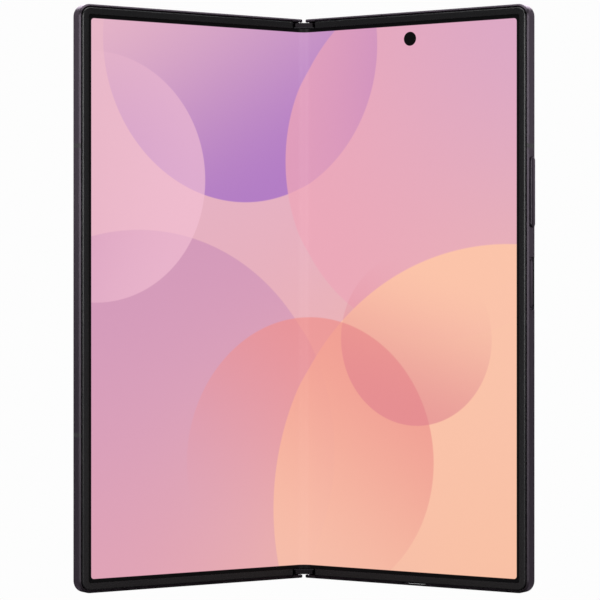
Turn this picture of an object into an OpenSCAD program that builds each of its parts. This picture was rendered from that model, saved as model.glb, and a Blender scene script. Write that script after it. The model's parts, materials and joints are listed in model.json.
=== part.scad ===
// Book-style folding phone, standing half folded on its bottom edges.
// Row frame: X to the right, Y away from the viewer, Z up, millimetres.
// Each half is drawn flat as a right half: x runs outward from the fold, y is depth behind
// the screen's trim, z is height. right_half() and left_half() then fold it to the rest pose.

/* [Body] */
// Width of one half, from the fold line to its outer side
half_w = 71.6; // [70:0.1:75]
// Height of the phone
body_h = 158.4; // [154:0.1:165]
// Radius of the four outer corners
corner_r = 3.3; // [3:0.1:5]
// Fold angle of each half from flat in the rest pose, in degrees
fold_rest = 32.4; // [10:0.1:42]

/* [Metal frame] */
// Thickness of the frame's side walls
wall_t = 1.5; // [1.4:0.05:1.7]
// Width of the metal lip round the screen
lip_w = 0.5; // [0.45:0.01:0.55]
// How far the lip lies behind the trim's front
lip_drop = 0.1; // [0.05:0.01:0.15]
// Bevel along the lip's front
front_chamfer = 0.44; // [0.3:0.01:0.44]
// Bevel along the back edge
back_chamfer = 0.5; // [0.3:0.01:0.6]
// Thickness of the mid-frame's web
web_t = 0.45; // [0.42:0.01:0.6]
// Depth of the space for batteries and boards
cavity_t = 2.0; // [1.98:0.01:2.3]
// Thickness of the end walls over the hinge
end_wall = 0.8; // [0.75:0.01:0.85]
// Radius of the frame's knuckle round each fold axis
knuckle_r = 0.9; // [0.8:0.01:1]
// Rounding of the end walls' inner corners
knuckle_fillet = 0.7; // [0.4:0.05:0.75]
// Gap in the back between the two halves' hinge rims when flat
rim_gap = 0.2; // [0.15:0.01:0.4]
// Width of the hinge rim beside the back glass
rim_w = 1.3; // [1.2:0.05:1.6]
// Thickness of the inner wall beside the hinge pocket
cradle_t = 0.75; // [0.6:0.05:1]

/* [Display stack] */
// How far the screen lies behind the trim's front
trim_rise = 0.35; // [0.3:0.01:0.45]
// Thickness of the flexible display
display_t = 0.6; // [0.5:0.01:0.65]
// Thickness of the metal support plates
plate_t = 0.3; // [0.28:0.01:0.35]
// Inset of the display under the trim
display_inset = 1.4; // [1.36:0.01:1.8]
// Distance of the display's free edge from the hinge ends
fold_inset = 2.75; // [2.7:0.05:3.2]
// Distance from the fold line to where the display is glued down
glue_s = 4.2; // [4:0.05:4.6]
// Front radius of the fold in the rest pose
fold_r = 3.7; // [3:0.1:4]

/* [Trim] */
// Gap between the metal lip and the trim
trim_gap = 0.5; // [0.4:0.01:0.55]
// Width of the trim
trim_w = 1.8; // [1.6:0.05:2.1]
// Thickness of the trim's outer leg
leg_t = 0.32; // [0.28:0.01:0.34]
// Bevel of the trim's outer edge
trim_bevel = 0.16; // [0.08:0.01:0.2]

/* [Glass] */
// Thickness of the back and cover glass
glass_t = 0.45; // [0.4:0.01:0.47]
// How far the glass lies inside the frame's back edge
glass_drop = 0.05; // [0.03:0.01:0.1]
// Inset of the glass from the outer sides
glass_inset = 1.1; // [1:0.05:1.2]
// Bevel of the glass edges
glass_bevel = 0.15; // [0.1:0.01:0.2]
// Thickness of the cover display under its glass
cover_panel_t = 0.42; // [0.3:0.01:0.5]

/* [Hinge] */
// Gap between the trims when the phone is closed
closed_gap = 0.5; // [0.4:0.02:0.7]
// Wall of the spine cover
spine_wall = 0.45; // [0.43:0.01:0.47]
// Gap between the spine cover and the frames round it
spine_gap = 0.15; // [0.13:0.01:0.18]
// Gap between the spine's ends and the end walls
spine_end_gap = 0.15; // [0.1:0.01:0.2]
// Height of each hinge end block
block_h = 1.65; // [1.6:0.01:1.7]
// Half width of the end caps between the frames
cap_half_w = 2.87; // [2.8:0.01:2.95]
// Radius of the hinge pins
pin_r = 0.35; // [0.3:0.01:0.37]
// Running clearance of pins and shafts
run_gap = 0.03; // [0.02:0.005:0.05]
// Module of the hinge gears
gear_module = 0.13; // [0.12:0.001:0.132]
// Width of the hinge gears
gear_w = 0.85; // [0.7:0.01:0.9]
// Radius of the idler shafts
idler_shaft_r = 0.25; // [0.2:0.01:0.28]
// Distance of the guide modules from the middle
guide_z = 39.2; // [20:0.1:60]
// Width of each arc tongue
tongue_w = 5.8; // [5:0.1:8]
// Thickness of each arc tongue
tongue_t = 0.4; // [0.35:0.01:0.42]
// Thickness of the guide cheeks
cheek_t = 1.2; // [1.1:0.05:1.6]
// Thickness of the friction springs
spring_t = 0.24; // [0.15:0.01:0.26]
// Reach of the rotator plates from the fold line
rotator_s = 11; // [10:0.1:14]

/* [Keys and holes] */
// Height of the volume key's centre
volume_z = 107.8; // [106:0.1:111]
// Length of the volume key
volume_len = 18.9; // [17:0.1:20]
// How far the volume key stands proud
volume_proud = 0.45; // [0.3:0.01:0.5]
// Height of the power key's centre
power_z = 83.2; // [80:0.1:85]
// Length of the power key
power_len = 12.8; // [11:0.1:14]
// Length of the scoop round the power key
scoop_len = 14.4; // [14.2:0.1:16]
// Depth of the scoop
scoop_depth = 0.35; // [0.25:0.01:0.4]
// Width of the keys through the phone's thickness
key_w = 2.1; // [1.9:0.05:2.2]
// Gap round the keys
key_gap = 0.12; // [0.1:0.01:0.15]
// Distance of the upper antenna bands above the volume key
band_rise = 3; // [1.2:0.05:16]
// Height of the lower antenna band
lower_band_z = 42.5; // [20:0.1:60]
// Width of the antenna bands
band_w = 1.1; // [0.8:0.05:1.6]
// Radius of the sound holes
sound_r = 0.45; // [0.3:0.01:0.5]
// Spacing of the sound holes
sound_pitch = 1.8; // [1.5:0.05:2.1]
// Distance of the charging socket from the outer side
usb_inset = 35.8; // [30:0.1:40]
// Width of the charging socket's mouth
usb_w = 8.94; // [8.9:0.01:9.2]
// Inner height of the charging socket
usb_in = 2.52; // [2.44:0.01:2.56]

/* [Cameras] */
// Distance of the inner camera from the fold line
inner_cam_s = 34.9; // [30:0.1:40]
// Distance of the inner camera from the top
inner_cam_drop = 7.46; // [7:0.01:8]
// Radius of the hole in the display
punch_r = 1.94; // [1.7:0.01:2]
// Width of the rear camera island
island_w = 17; // [16.5:0.1:18]
// Height of the rear camera island
island_h = 50; // [49:0.5:54]
// How far the island stands off the back glass
island_t = 1.2; // [1:0.05:1.4]
// Distance of the island's centre from the outer side
island_inset = 13.1; // [13:0.1:15]
// Distance of the island's top from the phone's top
island_drop = 9.9; // [9:0.1:12]
// Spacing of the rear lenses
lens_pitch = 15.5; // [15:0.1:16.3]
// Outer radius of the lens rings
ring_r = 6.75; // [6.4:0.05:7.2]
// Radius of the lens glasses
lens_r = 5.2; // [5:0.05:5.5]
// How far the lens rings stand off the island
ring_t = 0.6; // [0.4:0.05:0.8]

/* [Inside] */
// Space between the right battery and the outer wall
key_space = 8.8; // [8.6:0.1:16]
// Height of the batteries' lower edge
battery_z = 30; // [28:0.5:34]
// Gap between the batteries and the rear camera modules
battery_gap = 6; // [4:0.5:14]
// Thickness of the circuit boards
board_t = 0.6; // [0.5:0.05:0.8]
// Gap left round pieces in the cavity
fit_gap = 0.02; // [0.01:0.005:0.03]
// Thickness of the flex cables
flex_t = 0.14; // [0.1:0.01:0.15]

/* [SIM tray] */
// Distance of the tray's centre from the outer side
tray_inset = 14.6; // [13.6:0.1:18]
// Width of the tray
tray_w = 12.4; // [11.5:0.1:13]
// Length of the tray behind its door
tray_len = 16; // [14:0.1:18]
// Thickness of the tray
tray_t = 0.8; // [0.7:0.05:0.85]

/* [Hidden] */
$fn = 64;
// Reach of cuts past the faces they open, and of the larger ones past the hinge
over = 1;
far = 5;

// Depths of the layers behind the trim's front
display_d = trim_rise;
plate_d = display_d + display_t;
web_d = plate_d + plate_t;
web_back_d = web_d + web_t;
glass_d = web_back_d + cavity_t;
back_d = glass_d + glass_t;
half_t = back_d + glass_drop;
floor_d = web_back_d + fit_gap;
roof_d = glass_d - fit_gap;
loose_gap = 0.1;
joint_overlap = 0.01;
seam = 0.01;

// Inner faces of the walls
wall_s = half_w - wall_t;
wall_z = body_h - wall_t;

// Fold axes and the pieces concentric with them
hinge_d = plate_d + plate_t / 2;
hinge_s = hinge_d + closed_gap / 2;
pocket_r = glass_d - hinge_d;
pocket_s = hinge_s + pocket_r;
cavity_s = pocket_s + cradle_t;
spine_r = pocket_r - spine_gap;
spine_in_r = spine_r - spine_wall;
block_r = spine_in_r - fit_gap;
rim_s = rim_gap / 2;
glass_s = rim_s + rim_w;
block_w = end_wall + spine_end_gap;
pin_start = 0.3;
pin_bore_r = pin_r + fit_gap / 2;
rotator_d = plate_d + fit_gap;
rotator_t = 0.38;
cover_open_d = rotator_d + rotator_t + 0.1;
cap_d = 0.05;
cap_overlap = 0.4;

// Gear train: a main gear on each fold axis and two idlers between them
gear_teeth = 10;
pressure = 20;
pitch_r = gear_module * gear_teeth / 2;
tip_r = pitch_r + 0.8 * gear_module;
dedendum = 1.15;
root_r = pitch_r - dedendum * gear_module;
base_r = pitch_r * cos(pressure);
flank_steps = 3;
flank_radii = [for (i = [0 : flank_steps]) base_r + (tip_r - base_r) * i / flank_steps];
backlash = 0.9;
idler_d = hinge_d + sqrt(4 * pitch_r * pitch_r - pow(hinge_s - pitch_r, 2));
mesh_angle = atan2(idler_d - hinge_d, pitch_r - hinge_s);
half_pitch = 180 / gear_teeth;
phase_main_right = mesh_angle;
phase_idler_right = mesh_angle + 180 + half_pitch;
phase_idler_left = 3 * 180 + half_pitch - phase_idler_right;
phase_main_left = -mesh_angle * 2 + 180 + half_pitch - phase_idler_left;
plate_face = 0.35;
gear_lo = block_w + plate_face;
gear_hi = block_w + block_h - plate_face;
gear_slack = (gear_hi - gear_lo - gear_w) / 2;
gear_room = 0.06;
idler_bore = 0.22;
idler_end_gap = 0.04;

// Arc guides, from the spine cover inward
spring_r = spine_in_r - fit_gap;
tongue_r = spring_r - spring_t - 0.07;
tongue_in_r = tongue_r - tongue_t;
tongue_angle = 140;
rib_in_r = tongue_in_r + 0.1;
rib_out_r = tongue_r - 0.1;
rib_gap = 0.05;
rib_h = 0.35;
rib_from = 15;
groove_h = 0.4;
groove_from = -30;
groove_to = tongue_angle + 5;
spring_span = [30, 100];
trough_half_w = hinge_s + 0.25;
trough_d = hinge_d + tongue_in_r;
guide_top_d = cover_open_d + 0.1;
guide_half_h = tongue_w / 2 + 0.1;
bridge_half_w = 0.5;
bridge_gap = 0.12;
flange_half_h = tongue_w / 2 + 2.1;
flange_s = pocket_s + 0.6;
screw_r = 0.38;
screw_head_r = 0.72;
screw_head_t = 0.16;
screw_s = rotator_s - 3;
screw_z = flange_half_h - 1.4;
spine_screw_r = 0.28;
spine_head_r = 0.45;
spine_head_t = 0.2;
spine_screw_z = guide_half_h + cheek_t / 2;
guide_centres = [body_h / 2 - guide_z, body_h / 2 + guide_z];

// The display's fold in the rest pose: an arc tangent to both panels
fold_vertex_s = hinge_s - (hinge_s - (hinge_d - display_d) * sin(fold_rest)) / cos(fold_rest);
fold_vertex_y = hinge_d + (hinge_s - fold_vertex_s) * sin(fold_rest)
    - (hinge_d - display_d) * cos(fold_rest);
fold_y = fold_vertex_y - fold_r / cos(fold_rest);
fold_steps = 16;
plate_s = 0.35;
plate_end_gap = 0.15;

// The model's depth is centred on the row frame's origin
front_s = half_w - front_chamfer;
front_y = hinge_d - (front_s - hinge_s) * sin(fold_rest) + (lip_drop - hinge_d) * cos(fold_rest);
back_y = hinge_d + (hinge_s - rim_s) * sin(fold_rest) + (half_t - hinge_d) * cos(fold_rest);
y_shift = -(front_y + back_y) / 2;

// Edges of the trim
trim_in = lip_w + trim_gap;
trim_out = trim_in + trim_w;
trim_s = pocket_s;

upper_band_z = volume_z + volume_len / 2 + band_rise;

// Keys and their switches
key_d = web_d + fit_gap + key_w / 2;
key_back = 1.15;
key_inner_s = half_w - key_back;
key_bore_w = key_w + 2 * key_gap;
lug_s = wall_s - 0.85;
lug_reach = 0.8;
lug_half_h = 1.1;
lug_back_d = key_d + key_w / 2 - 0.2;
lug_d = web_back_d + 0.1;
post_r = 0.4;
stem_r = 0.35;
stem_d = key_d + 0.05;
stem_z = 6;
scoop_margin = 0.4;
catch_gap = 0.03;
catch_t = 0.2;
catch_rim = 0.2;
catch_z = 4;
catch_half_h = 1;
switch_s = wall_s - 0.78;
switch_gap = 0.22;
switch_box = [1, 1.3, 2.6];

// Charging socket
usb_s = half_w - usb_inset;
usb_wall = 0.1;
usb_d = plate_d + fit_gap / 2 + usb_in / 2 + usb_wall;
usb_out = usb_in + 2 * usb_wall;
usb_shell_w = usb_w - 0.4;
usb_len = 7;
usb_room = 0.2;
usb_corner = 0.3;
usb_mouth_gap = 0.15;
usb_mouth_z = wall_t + 0.05;
usb_back = 0.6;
usb_tongue_z = wall_t + 1;
usb_tongue = [6.6, 0.7];

// Sound holes
sound_share = 0.36;
sound_d = web_back_d + cavity_t * sound_share;
earpiece_s = 20;
earpiece_holes = [-1.5 : 1.5];
speaker_inset = 17.6;
speaker_s = half_w - speaker_inset;
speaker_holes = [-2.5 : 2.5];
mic_s = 24;
mic_share = 0.8;
mic_r = sound_r * mic_share;
earpiece_box = [11, 6.2];
speaker_box = [17, 15];
speaker_mid_z = wall_t + loose_gap + speaker_box.y / 2;
motor_box = [9, 16];
motor_side = 9;
motor_rise = 14;
motor_s = cavity_s + motor_side;
motor_z = wall_t + motor_rise;

// SIM tray and its reader
tray_s = half_w - tray_inset;
tray_share = 0.35;
tray_d = web_back_d + cavity_t * tray_share;
door_rim_w = 1.6;
door_rim_t = 0.6;
door_w = tray_w + door_rim_w;
door_t = tray_t + door_rim_t;
door_in = 0.1;
eject_step = 1.6;
eject_s = tray_s - door_w / 2 - eject_step;
tray_gap = 0.08;
reader_wall = 0.12;
reader_side = 1;
card_margin = 1.2;
reader_half_w = tray_w / 2 + tray_gap + reader_side;
reader_end = 2;
reader_front = 0.2;

// Cameras
inner_z = body_h - inner_cam_drop;
inner_body = 5;
inner_hole_r = inner_body / 2 * sqrt(2) + 0.1;
inner_barrel_r = 1.2;
barrel_d = plate_d - 0.15;
inner_back_d = roof_d - 0.4;
board_hole = inner_body + 0.4;
cover_cam_s = half_w / 2;
cover_cam_r = 1.6;
cover_cam_gap = 0.15;
corner_least = 0.5;
corner_small = 0.4;
corner_mid = 1;
corner_large = 1.2;
cover_back = roof_d - cover_panel_t;
cover_margin = 0.5;
island_s = half_w - island_inset;
island_z = body_h - island_drop - island_h / 2;
island_d = back_d + island_t;
ring_d = island_d + ring_t;
ring_bevel = 0.2;
lens_room = 0.1;
camera_body = 12;
camera_corner = 0.8;
barrel_r = lens_r - 0.2;
flash_z = island_z + lens_pitch * 1.5;
flash_r = 0.9;
flash_t = 0.5;

// Batteries, boards and magnets
battery_top = island_z - lens_pitch - camera_body / 2 - battery_gap;
battery_h = battery_top - battery_z;
battery_mid = (battery_z + battery_top) / 2;
battery_side = 3.6;
left_mid = (cavity_s + wall_s) / 2;
left_side = 4;
left_battery_w = wall_s - cavity_s - 2 * left_side;
right_battery_s = cavity_s + battery_side;
right_battery_w = wall_s - key_space - right_battery_s;
right_mid = right_battery_s + right_battery_w / 2;
coil_t = 0.3;
coil_r = 23;
coil_in_r = 11;
board_edge = 0.5;
board_room = 0.5;
board_top = wall_z - board_edge;
board_gap = 3;
board_bottom = battery_top + board_gap;
board_s = cavity_s + board_edge;
board_short = 6.4;
board_end_s = island_s - board_short;
shield_wall = 0.15;
shield_step = 3;
shield_short = 2;
shield_drop = 13;
shield_lo = [cavity_s + shield_step, floor_d + board_t, board_bottom + shield_step];
shield_hi = [board_end_s - shield_short, roof_d - loose_gap, board_top - shield_drop];
magnet_w = 2;
magnet_t = 1.2;
magnet_h = 9;
lower_magnet_z = 22;
magnet_drop = 10;
upper_magnet_z = board_bottom - magnet_drop;

// Flex cables: a ribbon that runs under both support plates and hangs in the spine's trough
flex_s = 8.5;
flex_slot = 0.7;
flex_w = 10;
flex_room = flex_w / 2 + fit_gap;
flex_drop = 3.8;
flex_z = board_bottom - flex_drop;
flex_centres = [body_h - flex_z, flex_z];
flex_front = web_d + 0.02;
flex_back_d = web_d + flex_t + 0.05;
flex_dip = hinge_d + 1.8;

metal = [0.25, 0.23, 0.25];
dark = [0.12, 0.12, 0.13];
steel = [0.62, 0.63, 0.65];
gold = [0.8, 0.66, 0.35];
screen = [0.9, 0.68, 0.75];
black = [0.04, 0.04, 0.05];
copper = [0.7, 0.42, 0.25];
lamp = [1, 1, 0.88];
board_green = [0.08, 0.25, 0.2];

// Poses

// A point of the flat right half, folded to the rest pose in the spine's frame
function posed(p) = [hinge_s + (p.x - hinge_s) * cos(fold_rest) + (p.y - hinge_d) * sin(fold_rest),
    hinge_d - (p.x - hinge_s) * sin(fold_rest) + (p.y - hinge_d) * cos(fold_rest)];
function mirrored(p) = [-p.x, p.y];
function reversed(list) = [for (i = [len(list) - 1 : -1 : 0]) list[i]];

module spine() { translate([0, y_shift, 0]) children(); }

module right_half() {
    spine() translate([hinge_s, hinge_d, 0]) rotate([0, 0, -fold_rest])
        translate([-hinge_s, -hinge_d, 0]) children();
}

module left_half() { mirror([1, 0, 0]) right_half() children(); }

module both_ends() {
    children();
    translate([0, 0, body_h]) mirror([0, 0, 1]) children();
}

module both_sides() {
    children();
    mirror([1, 0, 0]) children();
}

// A box given by its lowest and highest corners
module block(lo, hi) { translate(lo) cube(hi - lo); }

// A bar along x, y or z with round or square section
module post(s, d, z0, z1, r) { translate([s, d, z0]) cylinder(h = z1 - z0, r = r); }
module peg(s, z, d0, d1, r) { translate([s, d0, z]) rotate([-90, 0, 0]) cylinder(h = d1 - d0, r = r); }
module dowel(s0, s1, d, z, r) { translate([s0, d, z]) rotate([0, 90, 0]) cylinder(h = s1 - s0, r = r); }

// Section of a slab's rim: x outward, y depth, with a front and a back bevel
function rim(w, d0, d1, front, back) = concat([[0, d0]],
    front > 0 ? [[w - front, d0], [w, d0 + front]] : [[w, d0]],
    back > 0 ? [[w, d1 - back], [w - back, d1]] : [[w, d1]],
    [[0, d1]]);

// A plate with a straight side towards the fold and two rounded, bevelled outer corners
module slab(s0, s1, z0, z1, d0, d1, r, front = 0, back = 0) {
    edge = rim(r, d0, d1, front, back);
    translate([s0, 0, z0 + r]) linear_extrude(z1 - z0 - 2 * r)
        polygon(rim(s1 - s0, d0, d1, front, back));
    for (end = [0, 1]) translate([0, 0, end == 0 ? z0 : z1]) mirror([0, 0, end]) {
        translate([s0, 0, r]) rotate([0, 90, 0]) linear_extrude(s1 - s0 - r) polygon(edge);
        translate([s1 - r, 0, r]) rotate([-90, 0, 0]) rotate_extrude(angle = 90) polygon(edge);
    }
}

// A slab set in from all three outer sides of a half
module inset_slab(inset, s0, d0, d1, front = 0, back = 0) {
    slab(s0, half_w - inset, inset, body_h - inset, d0, d1, max(corner_r - inset, corner_least), front, back);
}

// A bar with round ends that runs along z, its section a slot
module pill(s0, s1, d, z, len, w) {
    translate([s0, d, z]) rotate([0, 90, 0]) linear_extrude(s1 - s0) {
        square([len - w, w], center = true);
        for (side = [-1, 1]) translate([side * (len - w) / 2, 0]) circle(w / 2);
    }
}

// A plate parallel to the screen with four rounded corners
module tablet(s, z, w, h, d0, d1, r) {
    translate([s, d0, z]) rotate([-90, 0, 0]) linear_extrude(d1 - d0) {
        square([w - 2 * r, h], center = true);
        square([w, h - 2 * r], center = true);
        for (x = [-1, 1]) for (y = [-1, 1])
            translate([x * (w / 2 - r), y * (h / 2 - r)]) circle(r);
    }
}

// Metal frame

// The space that the spine needs between a frame's end walls
module hinge_pocket() {
    translate([0, 0, end_wall]) linear_extrude(body_h - 2 * end_wall) {
        translate([hinge_s, hinge_d]) circle(pocket_r);
        translate([-far, -far]) square([far + hinge_s, far + glass_d]);
        translate([-far, -far]) square([far + pocket_s, far + web_d]);
    }
}

// Cuts an end wall back to its knuckle round the fold axis, with a rounded outer corner
module knuckle_relief() {
    end_s = hinge_s - knuckle_r;
    translate([0, 0, -over]) linear_extrude(over + end_wall) difference() {
        translate([-far, -far]) square([far + hinge_s, far + glass_d]);
        translate([hinge_s, hinge_d]) circle(knuckle_r);
        translate([end_s, hinge_d]) square([far, far]);
    }
    difference() {
        block([end_s - over, -over, -over], [end_s + knuckle_fillet, glass_d, knuckle_fillet]);
        peg(end_s + knuckle_fillet, knuckle_fillet, -2 * over, glass_d + over, knuckle_fillet);
    }
}

// What both frames share
module frame_blank() {
    difference() {
        slab(rim_s, half_w, 0, body_h, lip_drop, half_t, corner_r, front_chamfer, back_chamfer);
        inset_slab(lip_w, pocket_s, -over, web_d);
        inset_slab(wall_t, cavity_s, web_back_d, glass_d);
        inset_slab(glass_inset, glass_s, glass_d, half_t + over);
        hinge_pocket();
        both_ends() knuckle_relief();
    }
}

// The part of a side wall that an antenna band takes up
module band_zone(z) {
    block([wall_s, -over, z - band_w / 2], [half_w + over, half_t + over, z + band_w / 2]);
}

// Bores for the hinge pins
module pin_bores() {
    both_ends() post(hinge_s, hinge_d, pin_start, end_wall + over, pin_bore_r);
}

// Seats for the rotator plates and their screws, in the front of the web
module rotator_seats() {
    for (z = guide_centres) translate([0, 0, z]) {
        block([pocket_s - over, 0, -flange_half_h - fit_gap],
            [rotator_s + fit_gap, rotator_d + rotator_t + fit_gap, flange_half_h + fit_gap]);
        for (side = [-screw_z, screw_z]) peg(screw_s, side, 0, web_back_d + over, screw_r);
    }
}

// Shallow channel and slot that lead a flex cable under the support plate into the cavity
module flex_channels() {
    for (z = flex_centres) {
        block([pocket_s - over, web_d - over, z - flex_room],
            [flex_s + flex_slot, flex_back_d, z + flex_room]);
        block([flex_s, web_d - over, z - flex_room],
            [flex_s + flex_slot, web_back_d + over, z + flex_room]);
    }
}

module left_frame() left_half() color(metal) difference() {
    frame_blank();
    pin_bores();
    rotator_seats();
    flex_channels();
    for (z = [lower_band_z, upper_band_z]) band_zone(z);
    earpiece_bores();
    sim_mouth(key_gap / 2, wall_z - over, body_h + over);
    post(eject_s, tray_d, wall_z - over, body_h + over, sound_r);
}

module right_frame() right_half() color(metal) {
    right_shell();
    peg(lug_s, volume_z, web_back_d - fit_gap, lug_back_d + loose_gap, post_r);
}

module right_shell() difference() {
    frame_blank();
    pin_bores();
    rotator_seats();
    flex_channels();
    band_zone(upper_band_z);
    pill(wall_s - key_gap, half_w + over, key_d, volume_z, volume_len + 2 * key_gap, key_bore_w);
    pill(wall_s - key_gap, half_w + over, key_d, power_z, power_len + 2 * key_gap, key_bore_w);
    power_scoop();
    usb_mouth(usb_w, usb_out + 2 * usb_mouth_gap, -over, wall_t + over);
    usb_seat(web_d - over, web_back_d + over);
    speaker_bores();
    post(mic_s, sound_d, -over, wall_t + over, mic_r);
    peg(inner_cam_s, inner_z, web_d - over, web_back_d + over, inner_hole_r);
}

module earpiece_bores() {
    for (i = earpiece_holes)
        post(earpiece_s + i * sound_pitch, sound_d, wall_z - 2 * over, body_h + over, sound_r);
}

module speaker_bores() {
    for (i = speaker_holes)
        post(speaker_s + i * sound_pitch, sound_d, -over, wall_t + 3 * over, sound_r);
}

// Recess with sloped ends round the power key
module power_scoop() {
    floor_s = half_w - scoop_depth;
    top = scoop_len / 2;
    translate([0, key_d - key_w / 2 - scoop_margin, power_z]) rotate([-90, 0, 0])
        linear_extrude(key_w + 2 * scoop_margin)
            polygon([[half_w + over, -top - over], [floor_s, scoop_depth - top],
                [floor_s, top - scoop_depth], [half_w + over, top + over]]);
}

// Slot with round ends that runs up through an end wall
module mouth(s, d, w, h, z0, z1) {
    translate([s, d, z0]) linear_extrude(z1 - z0) {
        square([w - h, h], center = true);
        for (side = [-1, 1]) translate([side * (w - h) / 2, 0]) circle(h / 2);
    }
}

module usb_mouth(w, h, z0, z1) { mouth(usb_s, usb_d, w, h, z0, z1); }
module sim_mouth(gap, z0, z1) { mouth(tray_s, tray_d, door_w + 2 * gap, door_t + 2 * gap, z0, z1); }

// Opening in the web and the support plate for the socket's shell
module usb_seat(d0, d1) {
    tablet(usb_s, usb_len / 2 + wall_t, usb_shell_w + usb_room, usb_len + usb_room, d0, d1, usb_corner);
}

module left_antenna_bands() left_half() color(dark) intersection() {
    frame_blank();
    for (z = [lower_band_z, upper_band_z]) band_zone(z);
}

module right_antenna_bands() right_half() color(dark) intersection() {
    frame_blank();
    band_zone(upper_band_z);
}

// Screen, trim and support plates

// Raised bezel round three sides of a half, with a leg down to the frame
module trim_ring() {
    difference() {
        inset_slab(trim_in, trim_s, 0, web_d, trim_bevel);
        inset_slab(trim_out, trim_s - over, -over, display_d + over);
        inset_slab(trim_in + leg_t, trim_s - over, display_d - fit_gap, web_d + over);
    }
}

module left_trim() left_half() color(dark) trim_ring();

module right_trim() right_half() color(dark) difference() {
    trim_ring();
    block([usb_s - usb_w / 2, display_d, 0], [usb_s + usb_w / 2, web_d + over, wall_t]);
}

// One glued half of the flexible display
module display_panel() {
    inset_slab(display_inset, glue_s + fit_gap, display_d, plate_d);
}

module left_display() left_half() color(screen) display_panel();

module right_display() right_half() color(screen) difference() {
    display_panel();
    peg(inner_cam_s, inner_z, 0, plate_d + over, punch_r);
}

// The free middle of the display, bent round the fold
function fold_curve(d) = concat([posed([glue_s, d])],
    [for (i = [0 : fold_steps]) let (a = fold_rest * (1 - 2 * i / fold_steps), r = fold_r + d - display_d)
        [r * sin(a), fold_y + r * cos(a)]],
    [mirrored(posed([glue_s, d]))]);
module display_fold() color(screen) spine() translate([0, 0, fold_inset])
    linear_extrude(body_h - 2 * fold_inset)
        polygon(concat(fold_curve(display_d), reversed(fold_curve(plate_d))));

// Thin steel plate that carries the display between the fold and the web
module support_plate() {
    difference() {
        union() {
            block([plate_s, plate_d + fit_gap, fold_inset + plate_end_gap],
                [pocket_s, web_d - fit_gap, body_h - fold_inset - plate_end_gap]);
            inset_slab(display_inset, pocket_s, plate_d, web_d);
        }
        for (z = guide_centres) block([0, 0, z - flange_half_h - loose_gap],
            [rotator_s + loose_gap, web_d + over, z + flange_half_h + loose_gap]);
    }
}

module left_support_plate() left_half() color(steel) support_plate();

module right_support_plate() right_half() color(steel) difference() {
    support_plate();
    usb_seat(0, web_d + over);
    peg(inner_cam_s, inner_z, 0, web_d + over, inner_hole_r);
}

// Spine

// Section behind the fold axes: r round each axis with a flat between them
module trough_section(r) {
    both_sides() translate([hinge_s, hinge_d]) intersection() {
        circle(r);
        square(far);
    }
    translate([-hinge_s, hinge_d]) square([2 * hinge_s, r]);
}

module spine_cover() color(metal) spine()
    translate([0, 0, block_w]) linear_extrude(body_h - 2 * block_w) difference() {
        trough_section(spine_r);
        trough_section(spine_in_r);
        in_front(cover_open_d);
    }

// All that lies in front of depth d
module in_front(d) { translate([-2 * far, d - 2 * far]) square([4 * far, 2 * far]); }

// Section of the hinge end blocks: a cap between the frames and a foot in the spine cover
module block_section() {
    translate([-cap_half_w, cap_d]) square([2 * cap_half_w, cover_open_d + cap_overlap - cap_d]);
    difference() {
        trough_section(block_r);
        in_front(cover_open_d);
    }
}

// Round spaces for the four gears
module gear_space() {
    both_sides() {
        translate([hinge_s, hinge_d]) circle(tip_r + gear_room);
        translate([pitch_r, idler_d]) circle(tip_r + gear_room);
    }
    translate([-hinge_s, hinge_d]) square([2 * hinge_s, idler_d - hinge_d]);
}

module end_block() {
    difference() {
        translate([0, 0, block_w]) linear_extrude(gear_hi - block_w) block_section();
        translate([0, 0, gear_lo]) linear_extrude(gear_w + over) gear_space();
        both_sides() {
            post(hinge_s, hinge_d, 0, gear_hi + over, pin_r + run_gap);
            post(pitch_r, idler_d, gear_lo - idler_bore, gear_hi, idler_shaft_r + run_gap);
        }
    }
}

module end_block_bottom() color(metal) spine() end_block();

module end_block_top() color(metal) spine() translate([0, 0, body_h]) mirror([0, 0, 1]) end_block();

module gear_plates() color(steel) spine() both_ends() difference() {
    translate([0, 0, gear_hi]) linear_extrude(plate_face) block_section();
    both_sides() {
        post(hinge_s, hinge_d, 0, gear_hi + over, pin_r + run_gap);
        post(pitch_r, idler_d, 0, gear_hi + over, idler_shaft_r + run_gap);
    }
}

// Involute gear outline, one tooth centred on the phase angle
function involute(r) = let (a = acos(min(1, base_r / r))) tan(a) * 180 / PI - a;
function flank(r) = 90 / gear_teeth - backlash + involute(pitch_r) - involute(r);
function polar(r, a) = [r * cos(a), r * sin(a)];
module gear_outline(phase) {
    polygon([for (tooth = [0 : gear_teeth - 1]) let (a = phase + tooth * 2 * half_pitch)
        each concat([polar(root_r, a - flank(base_r))],
            [for (r = flank_radii) polar(r, a - flank(r))],
            [for (i = [flank_steps : -1 : 0]) polar(flank_radii[i], a + flank(flank_radii[i]))],
            [polar(root_r, a + flank(base_r))])]);
}

module main_gears(phase, side) color(steel) spine() both_ends() difference() {
    translate([side * hinge_s, hinge_d, gear_lo + gear_slack]) linear_extrude(gear_w) gear_outline(phase);
    post(side * hinge_s, hinge_d, 0, gear_hi + over, pin_bore_r);
}

module right_gears() main_gears(phase_main_right, 1);
module left_gears() main_gears(phase_main_left, -1);

module idler(phase, side) color(steel) spine() {
    translate([side * pitch_r, idler_d, gear_lo + gear_slack]) linear_extrude(gear_w) gear_outline(phase);
    post(side * pitch_r, idler_d, gear_lo - idler_bore + idler_end_gap,
        gear_hi + plate_face - idler_end_gap, idler_shaft_r);
}

module idler_bottom_left() idler(phase_idler_left, -1);
module idler_bottom_right() idler(phase_idler_right, 1);
module idler_top_left() translate([0, 0, body_h]) mirror([0, 0, 1]) idler_bottom_left();
module idler_top_right() translate([0, 0, body_h]) mirror([0, 0, 1]) idler_bottom_right();

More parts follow.
